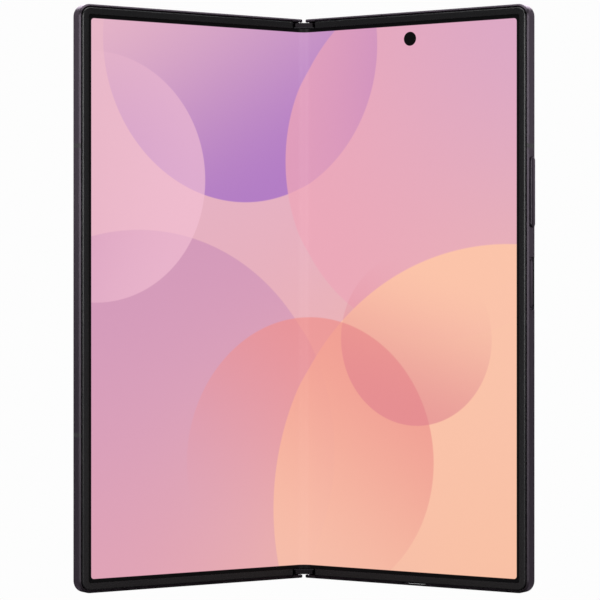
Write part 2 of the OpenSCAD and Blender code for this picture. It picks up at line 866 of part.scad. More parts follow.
module hinge_pins(side) color(steel) spine() both_ends()
    post(side * hinge_s, hinge_d, pin_start, gear_hi + plate_face, pin_r);
module right_hinge_pins() hinge_pins(1);
module left_hinge_pins() hinge_pins(-1);

// Sector of a ring round the right fold axis, angles measured from +x towards +y
module arc_band(r_in, r_out, from, to) {
    reach = 2 * r_out;
    translate([hinge_s, hinge_d]) intersection() {
        difference() {
            circle(r_out);
            circle(r_in);
        }
        polygon(concat([[0, 0]], [for (i = [0 : 4]) polar(reach, from + (to - from) * i / 4)]));
    }
}

// Rotator: a plate screwed to the web and an arc tongue that swings in the guide block
module rotator() {
    root_s = hinge_s + tongue_in_r;
    difference() {
        union() {
            linear_extrude(tongue_w, center = true) arc_band(tongue_in_r, tongue_r, 0, tongue_angle);
            linear_extrude(tongue_w + 2 * rib_h, center = true)
                arc_band(rib_in_r, rib_out_r, rib_from, tongue_angle);
            block([root_s, rotator_d, -tongue_w / 2],
                [flange_s, rotator_d + rotator_t, tongue_w / 2]);
            block([flange_s, rotator_d, -flange_half_h], [rotator_s, rotator_d + rotator_t, flange_half_h]);
        }
        for (side = [-screw_z, screw_z]) {
            peg(screw_s, side, 0, web_back_d, screw_r + fit_gap);
            peg(screw_s, side, 0, rotator_d + screw_head_t, screw_head_r + fit_gap);
        }
    }
}

module rotators() {
    for (z = guide_centres) translate([0, 0, z]) rotator();
}
module right_rotators() right_half() color(steel) rotators();
module left_rotators() left_half() color(steel) rotators();

module rotator_screws() {
    for (z = guide_centres) for (side = [-screw_z, screw_z])
        translate([0, 0, z + side]) {
            peg(screw_s, 0, rotator_d, rotator_d + screw_head_t, screw_head_r);
            peg(screw_s, 0, rotator_d, web_back_d - fit_gap, screw_r - fit_gap / 2);
        }
}
module right_rotator_screws() right_half() color(steel) rotator_screws();
module left_rotator_screws() left_half() color(steel) rotator_screws();

// Guide block: two cheeks with arc grooves, joined by a bridge under the tongues
module cheek_section() {
    difference() {
        trough_section(block_r);
        in_front(guide_top_d);
        translate([-trough_half_w, -far]) square([2 * trough_half_w, far + trough_d]);
    }
}

module guide_block(centre) color(steel) spine() translate([0, 0, centre]) difference() {
    union() {
        for (side = [0, 1]) mirror([0, 0, side])
            translate([0, 0, guide_half_h]) linear_extrude(cheek_t) cheek_section();
        block([-bridge_half_w, hinge_d + tongue_r - bridge_gap, -guide_half_h],
            [bridge_half_w, hinge_d + block_r, guide_half_h]);
    }
    linear_extrude(2 * (guide_half_h + groove_h), center = true)
        both_sides() arc_band(rib_in_r - rib_gap, rib_out_r + rib_gap, groove_from, groove_to);
    for (z = [-spine_screw_z, spine_screw_z]) {
        peg(0, z, 0, hinge_d + spine_r, spine_screw_r + fit_gap / 2);
        peg(0, z, 0, trough_d + spine_head_t, spine_head_r + fit_gap);
    }
}

module guide_block_lower() guide_block(guide_centres[0]);
module guide_block_upper() guide_block(guide_centres[1]);

module spine_screws() color(steel) spine()
    for (z = guide_centres) for (side = [-spine_screw_z, spine_screw_z]) {
        peg(0, z + side, trough_d, trough_d + spine_head_t, spine_head_r);
        peg(0, z + side, trough_d, hinge_d + spine_in_r, spine_screw_r);
    }

module friction_springs() color(gold) spine() for (z = guide_centres)
    translate([0, 0, z]) linear_extrude(tongue_w, center = true)
        both_sides() arc_band(spring_r - spring_t, spring_r, spring_span[0], spring_span[1]);

flex_path = [posed([flex_s + flex_slot - 0.1, flex_front]), posed([pocket_s - 0.25, flex_front]),
    [hinge_s + 1.7, hinge_d + 0.45], [hinge_s + 1.1, hinge_d + 1.45], [hinge_s - 0.4, flex_dip],
    [0, flex_dip]];
flex_normals = [[0.95, 0.31], [0.85, 0.53], [0.3, 0.95], [0, 1]];
flex_outline = concat(flex_path, [for (i = [len(flex_path) - 1 : -1 : 0])
    flex_path[i] + flex_t * (i < 2 ? [sin(fold_rest), cos(fold_rest)] : flex_normals[i - 2])]);
module flex_cables() color(gold) spine() for (z = flex_centres)
    translate([0, 0, z]) linear_extrude(flex_w, center = true) both_sides() polygon(flex_outline);

// Pieces in the left half

module back_pane() { inset_slab(glass_inset + fit_gap, glass_s + fit_gap, glass_d, back_d, 0, glass_bevel); }

module cover_glass() left_half() color(black) back_pane();

module cover_panel() left_half() color(black) difference() {
    slab(cavity_s + cover_margin, wall_s - cover_margin, wall_t + cover_margin,
        wall_z - cover_margin, cover_back, roof_d, corner_large);
    peg(cover_cam_s, inner_z, 0, half_t, cover_cam_r + cover_cam_gap);
}

module cover_camera() left_half() color(black) {
    peg(cover_cam_s, inner_z, cover_back - lens_room, roof_d, cover_cam_r);
    tablet(cover_cam_s, inner_z, inner_body, inner_body, floor_d, cover_back - lens_room, corner_small);
}

module left_battery() left_half() color(dark)
    tablet(left_mid, battery_mid, left_battery_w, battery_h, floor_d, cover_back - loose_gap, corner_mid);

module left_board() left_half() color(board_green) difference() {
    block([board_s, floor_d, board_bottom], [wall_s - board_edge, floor_d + board_t, board_top]);
    tablet(cover_cam_s, inner_z, board_hole, board_hole, 0, half_t, corner_small);
    block([earpiece_s - earpiece_box.x / 2 - board_room, 0, wall_z - earpiece_box.y - board_room],
        [earpiece_s + earpiece_box.x / 2 + board_room, half_t, body_h]);
    block([tray_s - reader_half_w - board_room, 0, wall_z - tray_len - reader_end - board_room],
        [tray_s + reader_half_w + board_room, half_t, body_h]);
}

module top_speaker() left_half() color(dark) difference() {
    tablet(earpiece_s, wall_z - loose_gap - earpiece_box.y / 2, earpiece_box.x, earpiece_box.y, floor_d,
        cover_back - loose_gap, 0.8);
    earpiece_bores();
}

module sim_reader() left_half() color(steel) difference() {
    slot_half_w = reader_half_w - reader_side;
    slot_half_t = tray_t / 2 + tray_gap;
    block([tray_s - reader_half_w, tray_d - slot_half_t - reader_wall, wall_z - tray_len - reader_end],
        [tray_s + reader_half_w, tray_d + slot_half_t + reader_wall, wall_z - reader_front]);
    block([tray_s - slot_half_w, tray_d - slot_half_t, wall_z - tray_len - reader_end / 2],
        [tray_s + slot_half_w, tray_d + slot_half_t, body_h]);
}

module sim_tray() left_half() color(metal) difference() {
    union() {
        sim_mouth(0, wall_z + door_in, body_h - door_in / 2);
        block([tray_s - tray_w / 2, tray_d - tray_t / 2, wall_z - tray_len],
            [tray_s + tray_w / 2, tray_d + tray_t / 2, wall_z + 2 * door_in]);
    }
    block([tray_s - tray_w / 2 + card_margin, 0, wall_z - tray_len + card_margin],
        [tray_s + tray_w / 2 - card_margin, half_t, wall_z - 2]);
}

// Bar magnets beside the outer wall
module magnets(places) {
    for (z = places) block([wall_s - magnet_w, floor_d, z - magnet_h / 2],
        [wall_s - fit_gap, floor_d + magnet_t, z + magnet_h / 2]);
}
module left_magnets() left_half() color(steel) magnets([lower_magnet_z, upper_magnet_z]);
module right_magnets() right_half() color(steel) magnets([lower_magnet_z]);

// Pieces in the right half

module lens_places() {
    for (i = [-1 : 1]) translate([0, 0, island_z + i * lens_pitch]) children();
}

module rear_glass() right_half() color(dark) difference() {
    back_pane();
    lens_places() peg(island_s, 0, 0, half_t + over, lens_r);
}

module camera_island() right_half() color(metal) difference() {
    tablet(island_s, island_z, island_w, island_h, back_d, island_d, island_w / 2 - seam);
    lens_places() peg(island_s, 0, 0, island_d + over, lens_r);
    peg(island_s, flash_z, island_d - flash_t, island_d + over, flash_r + fit_gap);
}

module lens_rings() right_half() color(metal) lens_places() translate([island_s, 0, 0])
    rotate([-90, 0, 0]) rotate_extrude() polygon([[lens_r, island_d], [ring_r, island_d],
        [ring_r, ring_d - ring_bevel], [ring_r - ring_bevel, ring_d],
        [lens_r + ring_bevel, ring_d], [lens_r, ring_d - ring_bevel]]);

module lens_glasses() right_half() color(black) lens_places()
    peg(island_s, 0, island_d - lens_room, ring_d - ring_bevel - lens_room / 2, lens_r - fit_gap);

module flash_led() right_half() color(lamp)
    peg(island_s, flash_z, island_d - flash_t, island_d + fit_gap, flash_r);

// Three camera modules in one group: a square body in the cavity and a barrel into the island
module rear_cameras() right_half() color(dark) lens_places() {
    tablet(island_s, 0, camera_body, camera_body, floor_d, roof_d, camera_corner);
    peg(island_s, 0, roof_d - lens_room, island_d - lens_room - fit_gap, barrel_r);
}

module inner_camera() right_half() color(dark) {
    tablet(inner_cam_s, inner_z, inner_body, inner_body, plate_d + loose_gap, inner_back_d, corner_small);
    peg(inner_cam_s, inner_z, barrel_d, plate_d + 2 * loose_gap, inner_barrel_r);
}

module inner_camera_lens() right_half() color(black)
    peg(inner_cam_s, inner_z, display_d + fit_gap / 2, barrel_d - fit_gap, punch_r - fit_gap);

module right_battery() right_half() color(dark)
    tablet(right_mid, battery_mid, right_battery_w, battery_h, floor_d, roof_d - coil_t - fit_gap,
        corner_mid);

module charging_coil() right_half() color(copper) difference() {
    peg(right_mid, battery_mid, roof_d - coil_t, roof_d, coil_r);
    peg(right_mid, battery_mid, 0, half_t, coil_in_r);
}

module main_board() right_half() color(board_green) difference() {
    block([board_s, floor_d, board_bottom], [board_end_s, floor_d + board_t, board_top]);
    peg(inner_cam_s, inner_z, 0, half_t, inner_hole_r + 2 * loose_gap);
}

module board_shield() right_half() color(steel) difference() {
    block(shield_lo, shield_hi);
    block(shield_lo + [shield_wall, -over, shield_wall], shield_hi - [1, 1, 1] * shield_wall);
}

// Socket shell with its contact tongue
module usb_port() right_half() color(steel) difference() {
    usb_mouth(usb_shell_w, usb_out, usb_mouth_z, wall_t + usb_len);
    difference() {
        usb_mouth(usb_shell_w - 2 * usb_wall, usb_in, 0, wall_t + usb_len - usb_back);
        block([usb_s - usb_tongue.x / 2, usb_d - usb_tongue.y / 2, usb_tongue_z],
            [usb_s + usb_tongue.x / 2, usb_d + usb_tongue.y / 2, wall_t + usb_len]);
    }
}

module bottom_speaker() right_half() color(dark) difference() {
    tablet(speaker_s, speaker_mid_z, speaker_box.x, speaker_box.y, floor_d, roof_d - loose_gap, corner_mid);
    speaker_bores();
}

module vibration_motor() right_half() color(steel)
    tablet(motor_s, motor_z, motor_box.x, motor_box.y, floor_d, roof_d - loose_gap, corner_large);

// Switches behind the keys, each a body and a plunger
module key_switch(z) {
    translate([switch_s - switch_gap - switch_box.x, floor_d, z - switch_box.z / 2]) cube(switch_box);
    dowel(switch_s - switch_gap - loose_gap, switch_s - switch_gap + loose_gap, stem_d, z, stem_r);
}
module key_switches() right_half() color(steel) {
    for (z = [volume_z - stem_z, volume_z + stem_z, power_z]) key_switch(z);
}

// Rocker: a pill in the wall, a lug round the pivot post and two stems for the switches
module volume_key() right_half() color(metal) difference() {
    union() {
        pill(key_inner_s, half_w + volume_proud, key_d, volume_z, volume_len, key_w);
        block([lug_s - lug_reach, lug_d, volume_z - lug_half_h],
            [key_inner_s + joint_overlap, lug_back_d, volume_z + lug_half_h]);
        for (side = [-stem_z, stem_z])
            dowel(switch_s + loose_gap, key_inner_s + joint_overlap, stem_d, volume_z + side, stem_r);
    }
    peg(lug_s, volume_z, 0, half_t, post_r + run_gap);
}

// Sprung key with two catches behind the wall and a stem for its switch
module power_key() right_half() color(metal) {
    pill(key_inner_s, half_w - scoop_depth + 0.1, key_d, power_z, power_len, key_w);
    dowel(switch_s + loose_gap, key_inner_s + joint_overlap, stem_d, power_z, stem_r);
    for (side = [-catch_z, catch_z]) translate([0, 0, power_z + side]) {
        block([wall_s - catch_gap - catch_t, lug_d, -catch_half_h],
            [key_inner_s + joint_overlap, lug_back_d, catch_half_h]);
        block([wall_s - catch_gap - catch_t, lug_d, -catch_half_h],
            [wall_s - catch_gap, key_d + key_w / 2 + catch_rim, catch_half_h]);
    }
}

spine_cover();
end_block_top();
end_block_bottom();
gear_plates();
guide_block_upper();
guide_block_lower();
friction_springs();
spine_screws();
display_fold();
flex_cables();
idler_top_left();
idler_top_right();
idler_bottom_left();
idler_bottom_right();
left_frame();
left_antenna_bands();
left_trim();
left_display();
left_support_plate();
left_hinge_pins();
left_gears();
left_rotators();
left_rotator_screws();
cover_glass();
cover_panel();
cover_camera();
left_battery();
left_board();
top_speaker();
sim_reader();
left_magnets();
sim_tray();
right_frame();
right_antenna_bands();
right_trim();
right_display();
right_support_plate();
right_hinge_pins();
right_gears();
right_rotators();
right_rotator_screws();
inner_camera();
inner_camera_lens();
rear_glass();
camera_island();
lens_rings();
lens_glasses();
flash_led();
rear_cameras();
right_battery();
main_board();
board_shield();
charging_coil();
usb_port();
bottom_speaker();
vibration_motor();
key_switches();
right_magnets();
volume_key();
power_key();
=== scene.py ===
# Looks of a book-style folding phone, standing half folded on its bottom edges
import json
import math
import bmesh
import bpy
from mathutils import Matrix, Vector
from mathutils.geometry import interpolate_bezier


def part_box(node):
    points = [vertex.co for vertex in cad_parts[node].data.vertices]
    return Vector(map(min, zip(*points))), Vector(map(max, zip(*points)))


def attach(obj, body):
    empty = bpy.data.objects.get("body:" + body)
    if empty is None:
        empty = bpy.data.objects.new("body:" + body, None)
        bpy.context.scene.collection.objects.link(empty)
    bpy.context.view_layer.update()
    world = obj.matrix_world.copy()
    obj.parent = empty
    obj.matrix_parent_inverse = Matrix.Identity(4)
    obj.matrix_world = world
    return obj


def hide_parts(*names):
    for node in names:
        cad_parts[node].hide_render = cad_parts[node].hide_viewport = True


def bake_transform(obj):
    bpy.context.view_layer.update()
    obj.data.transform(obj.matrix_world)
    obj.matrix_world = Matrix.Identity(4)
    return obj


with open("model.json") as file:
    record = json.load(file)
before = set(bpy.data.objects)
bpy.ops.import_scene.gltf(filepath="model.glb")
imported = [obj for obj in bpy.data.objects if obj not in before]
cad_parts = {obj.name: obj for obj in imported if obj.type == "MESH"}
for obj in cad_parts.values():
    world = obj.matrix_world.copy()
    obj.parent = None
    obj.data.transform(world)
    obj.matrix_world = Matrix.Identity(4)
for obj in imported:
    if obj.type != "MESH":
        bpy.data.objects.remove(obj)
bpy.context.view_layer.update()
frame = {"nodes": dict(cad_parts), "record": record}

# Sizes in millimetres in the flat right half: s from the fold outwards, d depth, z height
# Body, hinge axes and the fold at rest
HALF_W = 71.6
BODY_H = 158.4
CORNER_R = 3.3
BACK_D = 4.15
WEB_D = 1.25
HINGE_S = 1.35
HINGE_D = 1.1
FOLD_REST = math.radians(32.4)
FOLD_R = 3.7
FOLD_Y = -3.3137

# Display, its lit area and the camera's hole
DISPLAY_D = 0.35
DISPLAY_T = 0.6
SCREEN_INSET = 1.4
SCREEN_R = 1.9
FREE_EDGE = 2.75
FREE_RUN = 3.6
BORDER_S = 3.66
BORDER_Z = 3.78
PUNCH = (34.9, 150.94)
PUNCH_R = 1.94

# Trim round the display, measured in from the body's edge
TRIM_S = 4.22
TRIM_OUT = 0.86
TRIM_IN = 2.72
TRIM_LIP = 0.32
TRIM_OUTER_R = 0.4
TRIM_INNER_R = 0.22

# Keys in the outer side
KEY_D = 2.32
KEY_W = 2.1
KEY_ROOT = 1.15
KEY_EDGE = 0.2
VOLUME_Z = 107.8
VOLUME_RUN = 18.9
VOLUME_STAND = 0.45
POWER_Z = 83.2
POWER_RUN = 12.8
POWER_SINK = 0.25

# Camera island, its lenses and lamp, and the cover camera
ISLAND_D = 5.35
ISLAND_R = 8.5
ISLAND_RUN = 16.5
ISLAND_EDGE = 0.5
RING_D = 5.95
RING_R = 6.75
LENS_S = 58.5
LENS_ZS = (108.0, 123.5, 139.0)
LENS_R = 5.18
LENS_OPENINGS = (2.3, 2.9, 2.0)
MODULE_W = 12
MODULE_D = 1.72
MODULE_T = 1.96
FLASH_Z = 146.75
FLASH_R = 0.9
FIT = 0.03
COVER_CAM_S = 35.8

# Hinge end caps
CAP_HALF_W = 2.4
CAP_FOOT_D = 2.0
CAP_DROP = 0.15

# Charging socket
USB_S = 35.8
USB_D = 2.32
TONGUE_W = 6.64
TONGUE_T = 0.74
TONGUE_ROOT_Z = 8.1
TONGUE_RUN = 5.62
CONTACT_PITCH = 0.5
CONTACT_W = 0.26
CONTACT_RUN = 3.2
CONTACT_T = 0.03
CONTACT_Z = 4.6

# Sound holes
SOUND_D = 2.42
SOUND_PITCH = 1.8
SOUND_MESH_R = 0.44
SOUND_MESH_T = 0.06
EARPIECE_S = 20
SPEAKER_S = 54

# Ribbon cables
FLEX_W = 10
FLEX_T = 0.14

# Distance under which two vertices are one, and a millimetre in metres
MERGE = 0.0005
METRE = 0.001

# The row's depth origin, from the box that the CAD model fills
Y_SHIFT = 16.3816

MIRROR = Matrix.Scale(-1, 4, (1, 0, 0))
SPINE = Matrix.Scale(METRE, 4) @ Matrix.Translation((0, Y_SHIFT, 0))
FOLDED = (Matrix.Translation((HINGE_S, HINGE_D, 0)) @ Matrix.Rotation(-FOLD_REST, 4, "Z")
    @ Matrix.Translation((-HINGE_S, -HINGE_D, 0)))
RIGHT = SPINE @ FOLDED
LEFT = MIRROR @ RIGHT
HALVES = {"left": LEFT, "right": RIGHT}


# Materials

def rgb(hex_code):
    """An sRGB hex colour as linear red, green, blue and alpha."""
    parts = [int(hex_code[i:i + 2], 16) / 255 for i in (1, 3, 5)]
    return tuple(c / 12.92 if c <= 0.04045 else ((c + 0.055) / 1.055) ** 2.4 for c in parts) + (1,)


def node(tree, kind, inputs=None, **attributes):
    """Adds one node, sets its attributes, and fills or links its inputs."""
    made = tree.nodes.new(kind)
    for key, value in attributes.items():
        setattr(made, key, value)
    for key, value in (inputs or {}).items():
        if isinstance(value, bpy.types.NodeSocket):
            tree.links.new(value, made.inputs[key])
        else:
            made.inputs[key].default_value = value
    return made


def finish(name, shader_inputs, pattern=None):
    """A material on one Principled shader. pattern(tree, shader) adds its texture nodes."""
    material = bpy.data.materials.new(name)
    material.use_nodes = True
    tree = material.node_tree
    tree.nodes.clear()
    shader = node(tree, "ShaderNodeBsdfPrincipled", shader_inputs)
    node(tree, "ShaderNodeOutputMaterial", {"Surface": shader.outputs[0]})
    if pattern:
        pattern(tree, shader)
    return material


def place_of(tree, scale=(1, 1, 1)):
    """Object coordinates in metres, stretched by scale."""
    coordinates = node(tree, "ShaderNodeTexCoord")
    placed = node(tree, "ShaderNodeMapping", {"Vector": coordinates.outputs["Object"], "Scale": scale})
    return placed.outputs[0]


def grain(grit_mm, depth_mm, low, high, rough_low, rough_high, stretch=(1, 1, 1), edge_mm=0.06):
    """Fine relief of one grit size, broken edges, and slow changes in colour and roughness.

    Real blasting, etching and mould texture is under 0.1 mm. It is drawn at about twice that, because
    the real size wouldn't show.
    """
    def pattern(tree, shader):
        fine = node(tree, "ShaderNodeTexNoise", {"Vector": place_of(tree, stretch),
            "Scale": 1 / (grit_mm * METRE), "Detail": 3.0, "Roughness": 0.6})
        broad = node(tree, "ShaderNodeTexNoise", {"Vector": place_of(tree), "Scale": 60.0, "Detail": 2.0})
        tint = node(tree, "ShaderNodeMix", {0: broad.outputs["Fac"], 6: rgb(low), 7: rgb(high)},
            data_type="RGBA")
        sheen = node(tree, "ShaderNodeMapRange", {"Value": fine.outputs["Fac"], "From Min": 0.3,
            "From Max": 0.7, "To Min": rough_low, "To Max": rough_high})
        broken = node(tree, "ShaderNodeBevel", {"Radius": edge_mm * METRE}, samples=4)
        bump = node(tree, "ShaderNodeBump", {"Height": fine.outputs["Fac"], "Strength": 0.35,
            "Distance": depth_mm * METRE, "Normal": broken.outputs[0]})
        tree.links.new(tint.outputs[2], shader.inputs["Base Color"])
        tree.links.new(sheen.outputs[0], shader.inputs["Roughness"])
        tree.links.new(bump.outputs[0], shader.inputs["Normal"])
    return pattern


# Aluminium, bead blasted and anodised nearly black: a soft grey sheen that turns faintly violet where
# it is seen along the surface
ANODISED = finish("bead_blasted_anodised_aluminium", {"Metallic": 1.0, "Specular Tint": rgb("#efe4f1")},
    grain(0.18, 0.003, "#383339", "#3f3a40", 0.3, 0.42))
# The same aluminium turned and polished before its dye, on the lens rings: a darker, sharper shine
RINGS = finish("polished_anodised_aluminium", {"Metallic": 1.0},
    grain(0.3, 0.001, "#4a4348", "#524b50", 0.12, 0.2))
# The same aluminium on the hinge's ends, drawn a darker grey than the frames
CAPS = finish("darker_toned_anodised_aluminium", {"Metallic": 1.0},
    grain(0.18, 0.004, "#1d1b1d", "#232023", 0.3, 0.4))
# Bare stainless steel inside the hinge: pale, with fine streaks along the fold from rolling
STEEL = finish("rolled_stainless_steel", {"Metallic": 1.0},
    grain(0.12, 0.003, "#9a9a9d", "#b0afb0", 0.22, 0.36, (1, 1, 0.06)))
# Glass-filled polymer moulded into the frame's slits: matt, a shade darker than the metal
BAND = finish("moulded_antenna_polymer", {"IOR": 1.5},
    grain(0.25, 0.006, "#1b191b", "#222022", 0.42, 0.55))
# Satin moulded trim: near black with a soft edge light
TRIM = finish("moulded_satin_trim", {"IOR": 1.46, "Specular IOR Level": 0.45},
    grain(0.2, 0.0012, "#101011", "#151516", 0.25, 0.28))
# Glass etched to a satin: dark grey that spreads the room's reflection
ETCHED = finish("satin_etched_back_glass", {"IOR": 1.52, "Coat Weight": 0.25, "Coat Roughness": 0.2},
    grain(0.16, 0.002, "#2b292d", "#312f33", 0.24, 0.32))
# Clear cover glass over an unlit panel: deep black with a sharp reflection
COVER = finish("polished_black_cover_glass", {"IOR": 1.52},
    grain(1.5, 0.0006, "#050506", "#070708", 0.03, 0.06))
# Hinge steel on the plates that face out beside the screen, coloured near black: painted shade of the recess
# they sit in
SHADE_DARKENED_STEEL = finish("steel_painted_dark_for_recess_shade", {"Metallic": 0.8},
    grain(0.12, 0.002, "#161518", "#1e1d20", 0.35, 0.5))
# Sheet of phosphor bronze in the friction springs
BRONZE = finish("phosphor_bronze_strip", {"Metallic": 1.0},
    grain(0.12, 0.002, "#b07f4e", "#c08f5c", 0.24, 0.36, (0.06, 0.06, 1)))
# Amber film laminated over copper tracks
FILM = finish("polyimide_flex_film", {"IOR": 1.6, "Coat Weight": 0.3, "Coat Roughness": 0.15},
    grain(0.5, 0.004, "#a8641c", "#c07c2c", 0.25, 0.35, (1, 1, 0.1)))
# Foil pouch of a battery cell, slightly wrinkled
POUCH = finish("laminated_foil_pouch", {"Metallic": 0.7},
    grain(2.5, 0.08, "#46464a", "#56565a", 0.3, 0.45))
# Solder mask over a board's copper
BOARD = finish("solder_masked_laminate", {"IOR": 1.55, "Coat Weight": 0.4, "Coat Roughness": 0.12},
    grain(0.9, 0.02, "#0b241d", "#123429", 0.3, 0.4))
# Moulded housings of the speakers and camera modules
HOUSING = finish("moulded_black_housing", {"IOR": 1.5},
    grain(0.25, 0.008, "#101011", "#171718", 0.45, 0.6))


def winding(tree, shader):
    """Enamelled copper wire in rings of 0.5 mm, drawn round the coil's own centre."""
    low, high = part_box("charging_coil")
    centre = (low + high) / 2
    across = Matrix.Rotation(FOLD_REST, 4, "Z") @ -centre
    coordinates = node(tree, "ShaderNodeTexCoord")
    local = node(tree, "ShaderNodeMapping", {"Vector": coordinates.outputs["Object"], "Location": across,
        "Rotation": (0, 0, FOLD_REST)})
    rings = node(tree, "ShaderNodeTexWave", {"Vector": local.outputs[0], "Scale": 0.05 / (0.5 * METRE)},
        wave_type="RINGS", rings_direction="Y")
    tint = node(tree, "ShaderNodeMix", {0: rings.outputs["Fac"], 6: rgb("#6e3b1e"), 7: rgb("#c98557")},
        data_type="RGBA")
    bump = node(tree, "ShaderNodeBump", {"Height": rings.outputs["Fac"], "Distance": 0.05 * METRE})
    tree.links.new(tint.outputs[2], shader.inputs["Base Color"])
    tree.links.new(bump.outputs[0], shader.inputs["Normal"])


COPPER = finish("wound_enamelled_copper", {"Metallic": 0.9, "Roughness": 0.3}, winding)


def phosphor(tree, shader):
    """Yellow phosphor dice in a grid of 0.45 mm under the lamp's lens."""
    checks = node(tree, "ShaderNodeTexVoronoi", {"Vector": place_of(tree), "Scale": 1 / (0.45 * METRE)})
    tint = node(tree, "ShaderNodeMix", {0: checks.outputs["Distance"], 6: rgb("#f2e6a8"), 7: rgb("#cfb75a")},
        data_type="RGBA")
    tree.links.new(tint.outputs[2], shader.inputs["Base Color"])


PHOSPHOR = finish("phosphor_under_clear_lens", {"Roughness": 0.25, "Coat Weight": 1.0,
    "Coat Roughness": 0.04}, phosphor)


def coating(middle, rim):
    """Antireflection coating: one tint in the middle of a lens, another where it is seen at an angle."""
    def pattern(tree, shader):
        facing = node(tree, "ShaderNodeLayerWeight", {"Blend": 0.35})
        speck = node(tree, "ShaderNodeTexNoise", {"Vector": place_of(tree), "Scale": 400.0})
        tint = node(tree, "ShaderNodeMix", {0: facing.outputs["Facing"], 6: rgb(middle), 7: rgb(rim)},
            data_type="RGBA")
        gloss = node(tree, "ShaderNodeMapRange", {"Value": speck.outputs["Fac"], "To Min": 0.02,
            "To Max": 0.06})
        tree.links.new(tint.outputs[2], shader.inputs["Base Color"])
        tree.links.new(gloss.outputs[0], shader.inputs["Roughness"])
    return pattern


# Deep coated glass of the rear lenses, green and violet
LENS = finish("coated_optical_glass", {"IOR": 1.7, "Coat Weight": 1.0, "Coat Roughness": 0.02},
    coating("#0d1614", "#1f1538"))
# The small lenses beside the screens, whose coating looks a flat grey green
EYE = finish("coated_moulded_lens", {"IOR": 1.6, "Coat Weight": 1.0, "Coat Roughness": 0.05},
    coating("#34413e", "#2b2a3a"))


def clear(tree, shader):
    """Clear sapphire window: the slightest haze, no colour of its own."""
    haze = node(tree, "ShaderNodeTexNoise", {"Vector": place_of(tree), "Scale": 250.0})
    gloss = node(tree, "ShaderNodeMapRange", {"Value": haze.outputs["Fac"], "To Min": 0.0, "To Max": 0.02})
    tree.links.new(gloss.outputs[0], shader.inputs["Roughness"])


WINDOW = finish("clear_sapphire_window", {"Base Color": rgb("#f4f6f6"), "IOR": 1.5,
    "Transmission Weight": 1.0}, clear)
# Hard gold over nickel on the socket's contacts
GOLD = finish("gold_plated_contacts", {"Metallic": 1.0}, grain(0.1, 0.001, "#d9ac5c", "#e3b96c", 0.2, 0.3))


def woven(tree, shader):
    """Acoustic mesh of black wire, drawn at 0.16 mm between wires so that it shows."""
    weave = node(tree, "ShaderNodeTexChecker", {"Vector": place_of(tree), "Scale": 1 / (0.16 * METRE),
        "Color1": rgb("#2c2b2d"), "Color2": rgb("#070707")})
    bump = node(tree, "ShaderNodeBump", {"Height": weave.outputs["Fac"], "Distance": 0.03 * METRE})
    tree.links.new(weave.outputs["Color"], shader.inputs["Base Color"])
    tree.links.new(bump.outputs[0], shader.inputs["Normal"])


MESH = finish("woven_acoustic_mesh", {"Metallic": 0.6, "Roughness": 0.45}, woven)

# The lit screen

# Distance along the screen from the fold: an arc first, then the flat panel
ARC_LEN = FOLD_R * FOLD_REST
ARC_END_S = (HINGE_S + (FOLD_R * math.sin(FOLD_REST) - HINGE_S) * math.cos(FOLD_REST)
    - (FOLD_Y + FOLD_R * math.cos(FOLD_REST) - HINGE_D) * math.sin(FOLD_REST))
SCREEN_U = HALF_W - SCREEN_INSET - ARC_END_S + ARC_LEN
ACTIVE_U = HALF_W - BORDER_S - ARC_END_S + ARC_LEN
ACTIVE_Z = BODY_H / 2 - BORDER_Z
ACTIVE_R = 0.8
PUNCH_U = PUNCH[0] - ARC_END_S + ARC_LEN

# Overlapping translucent discs: centre, radius, colour, direction in degrees in which each one
# gains strength, and its strongest opacity
DISCS = (
    ((-52, 36), 62, "#cc92b6", 100, 0.8),
    ((-20, 150), 44, "#a873c2", -62, 0.9),
    ((44, 118), 50, "#e8a3b4", 196, 0.75),
    ((64, 20), 74, "#fbc5a4", 118, 0.85),
    ((2, 34), 40, "#e98f8a", 60, 0.75),
    ((-66, 112), 34, "#f1bfd2", -20, 0.6),
    ((36, 68), 24, "#dc7f8c", -110, 0.65),
)


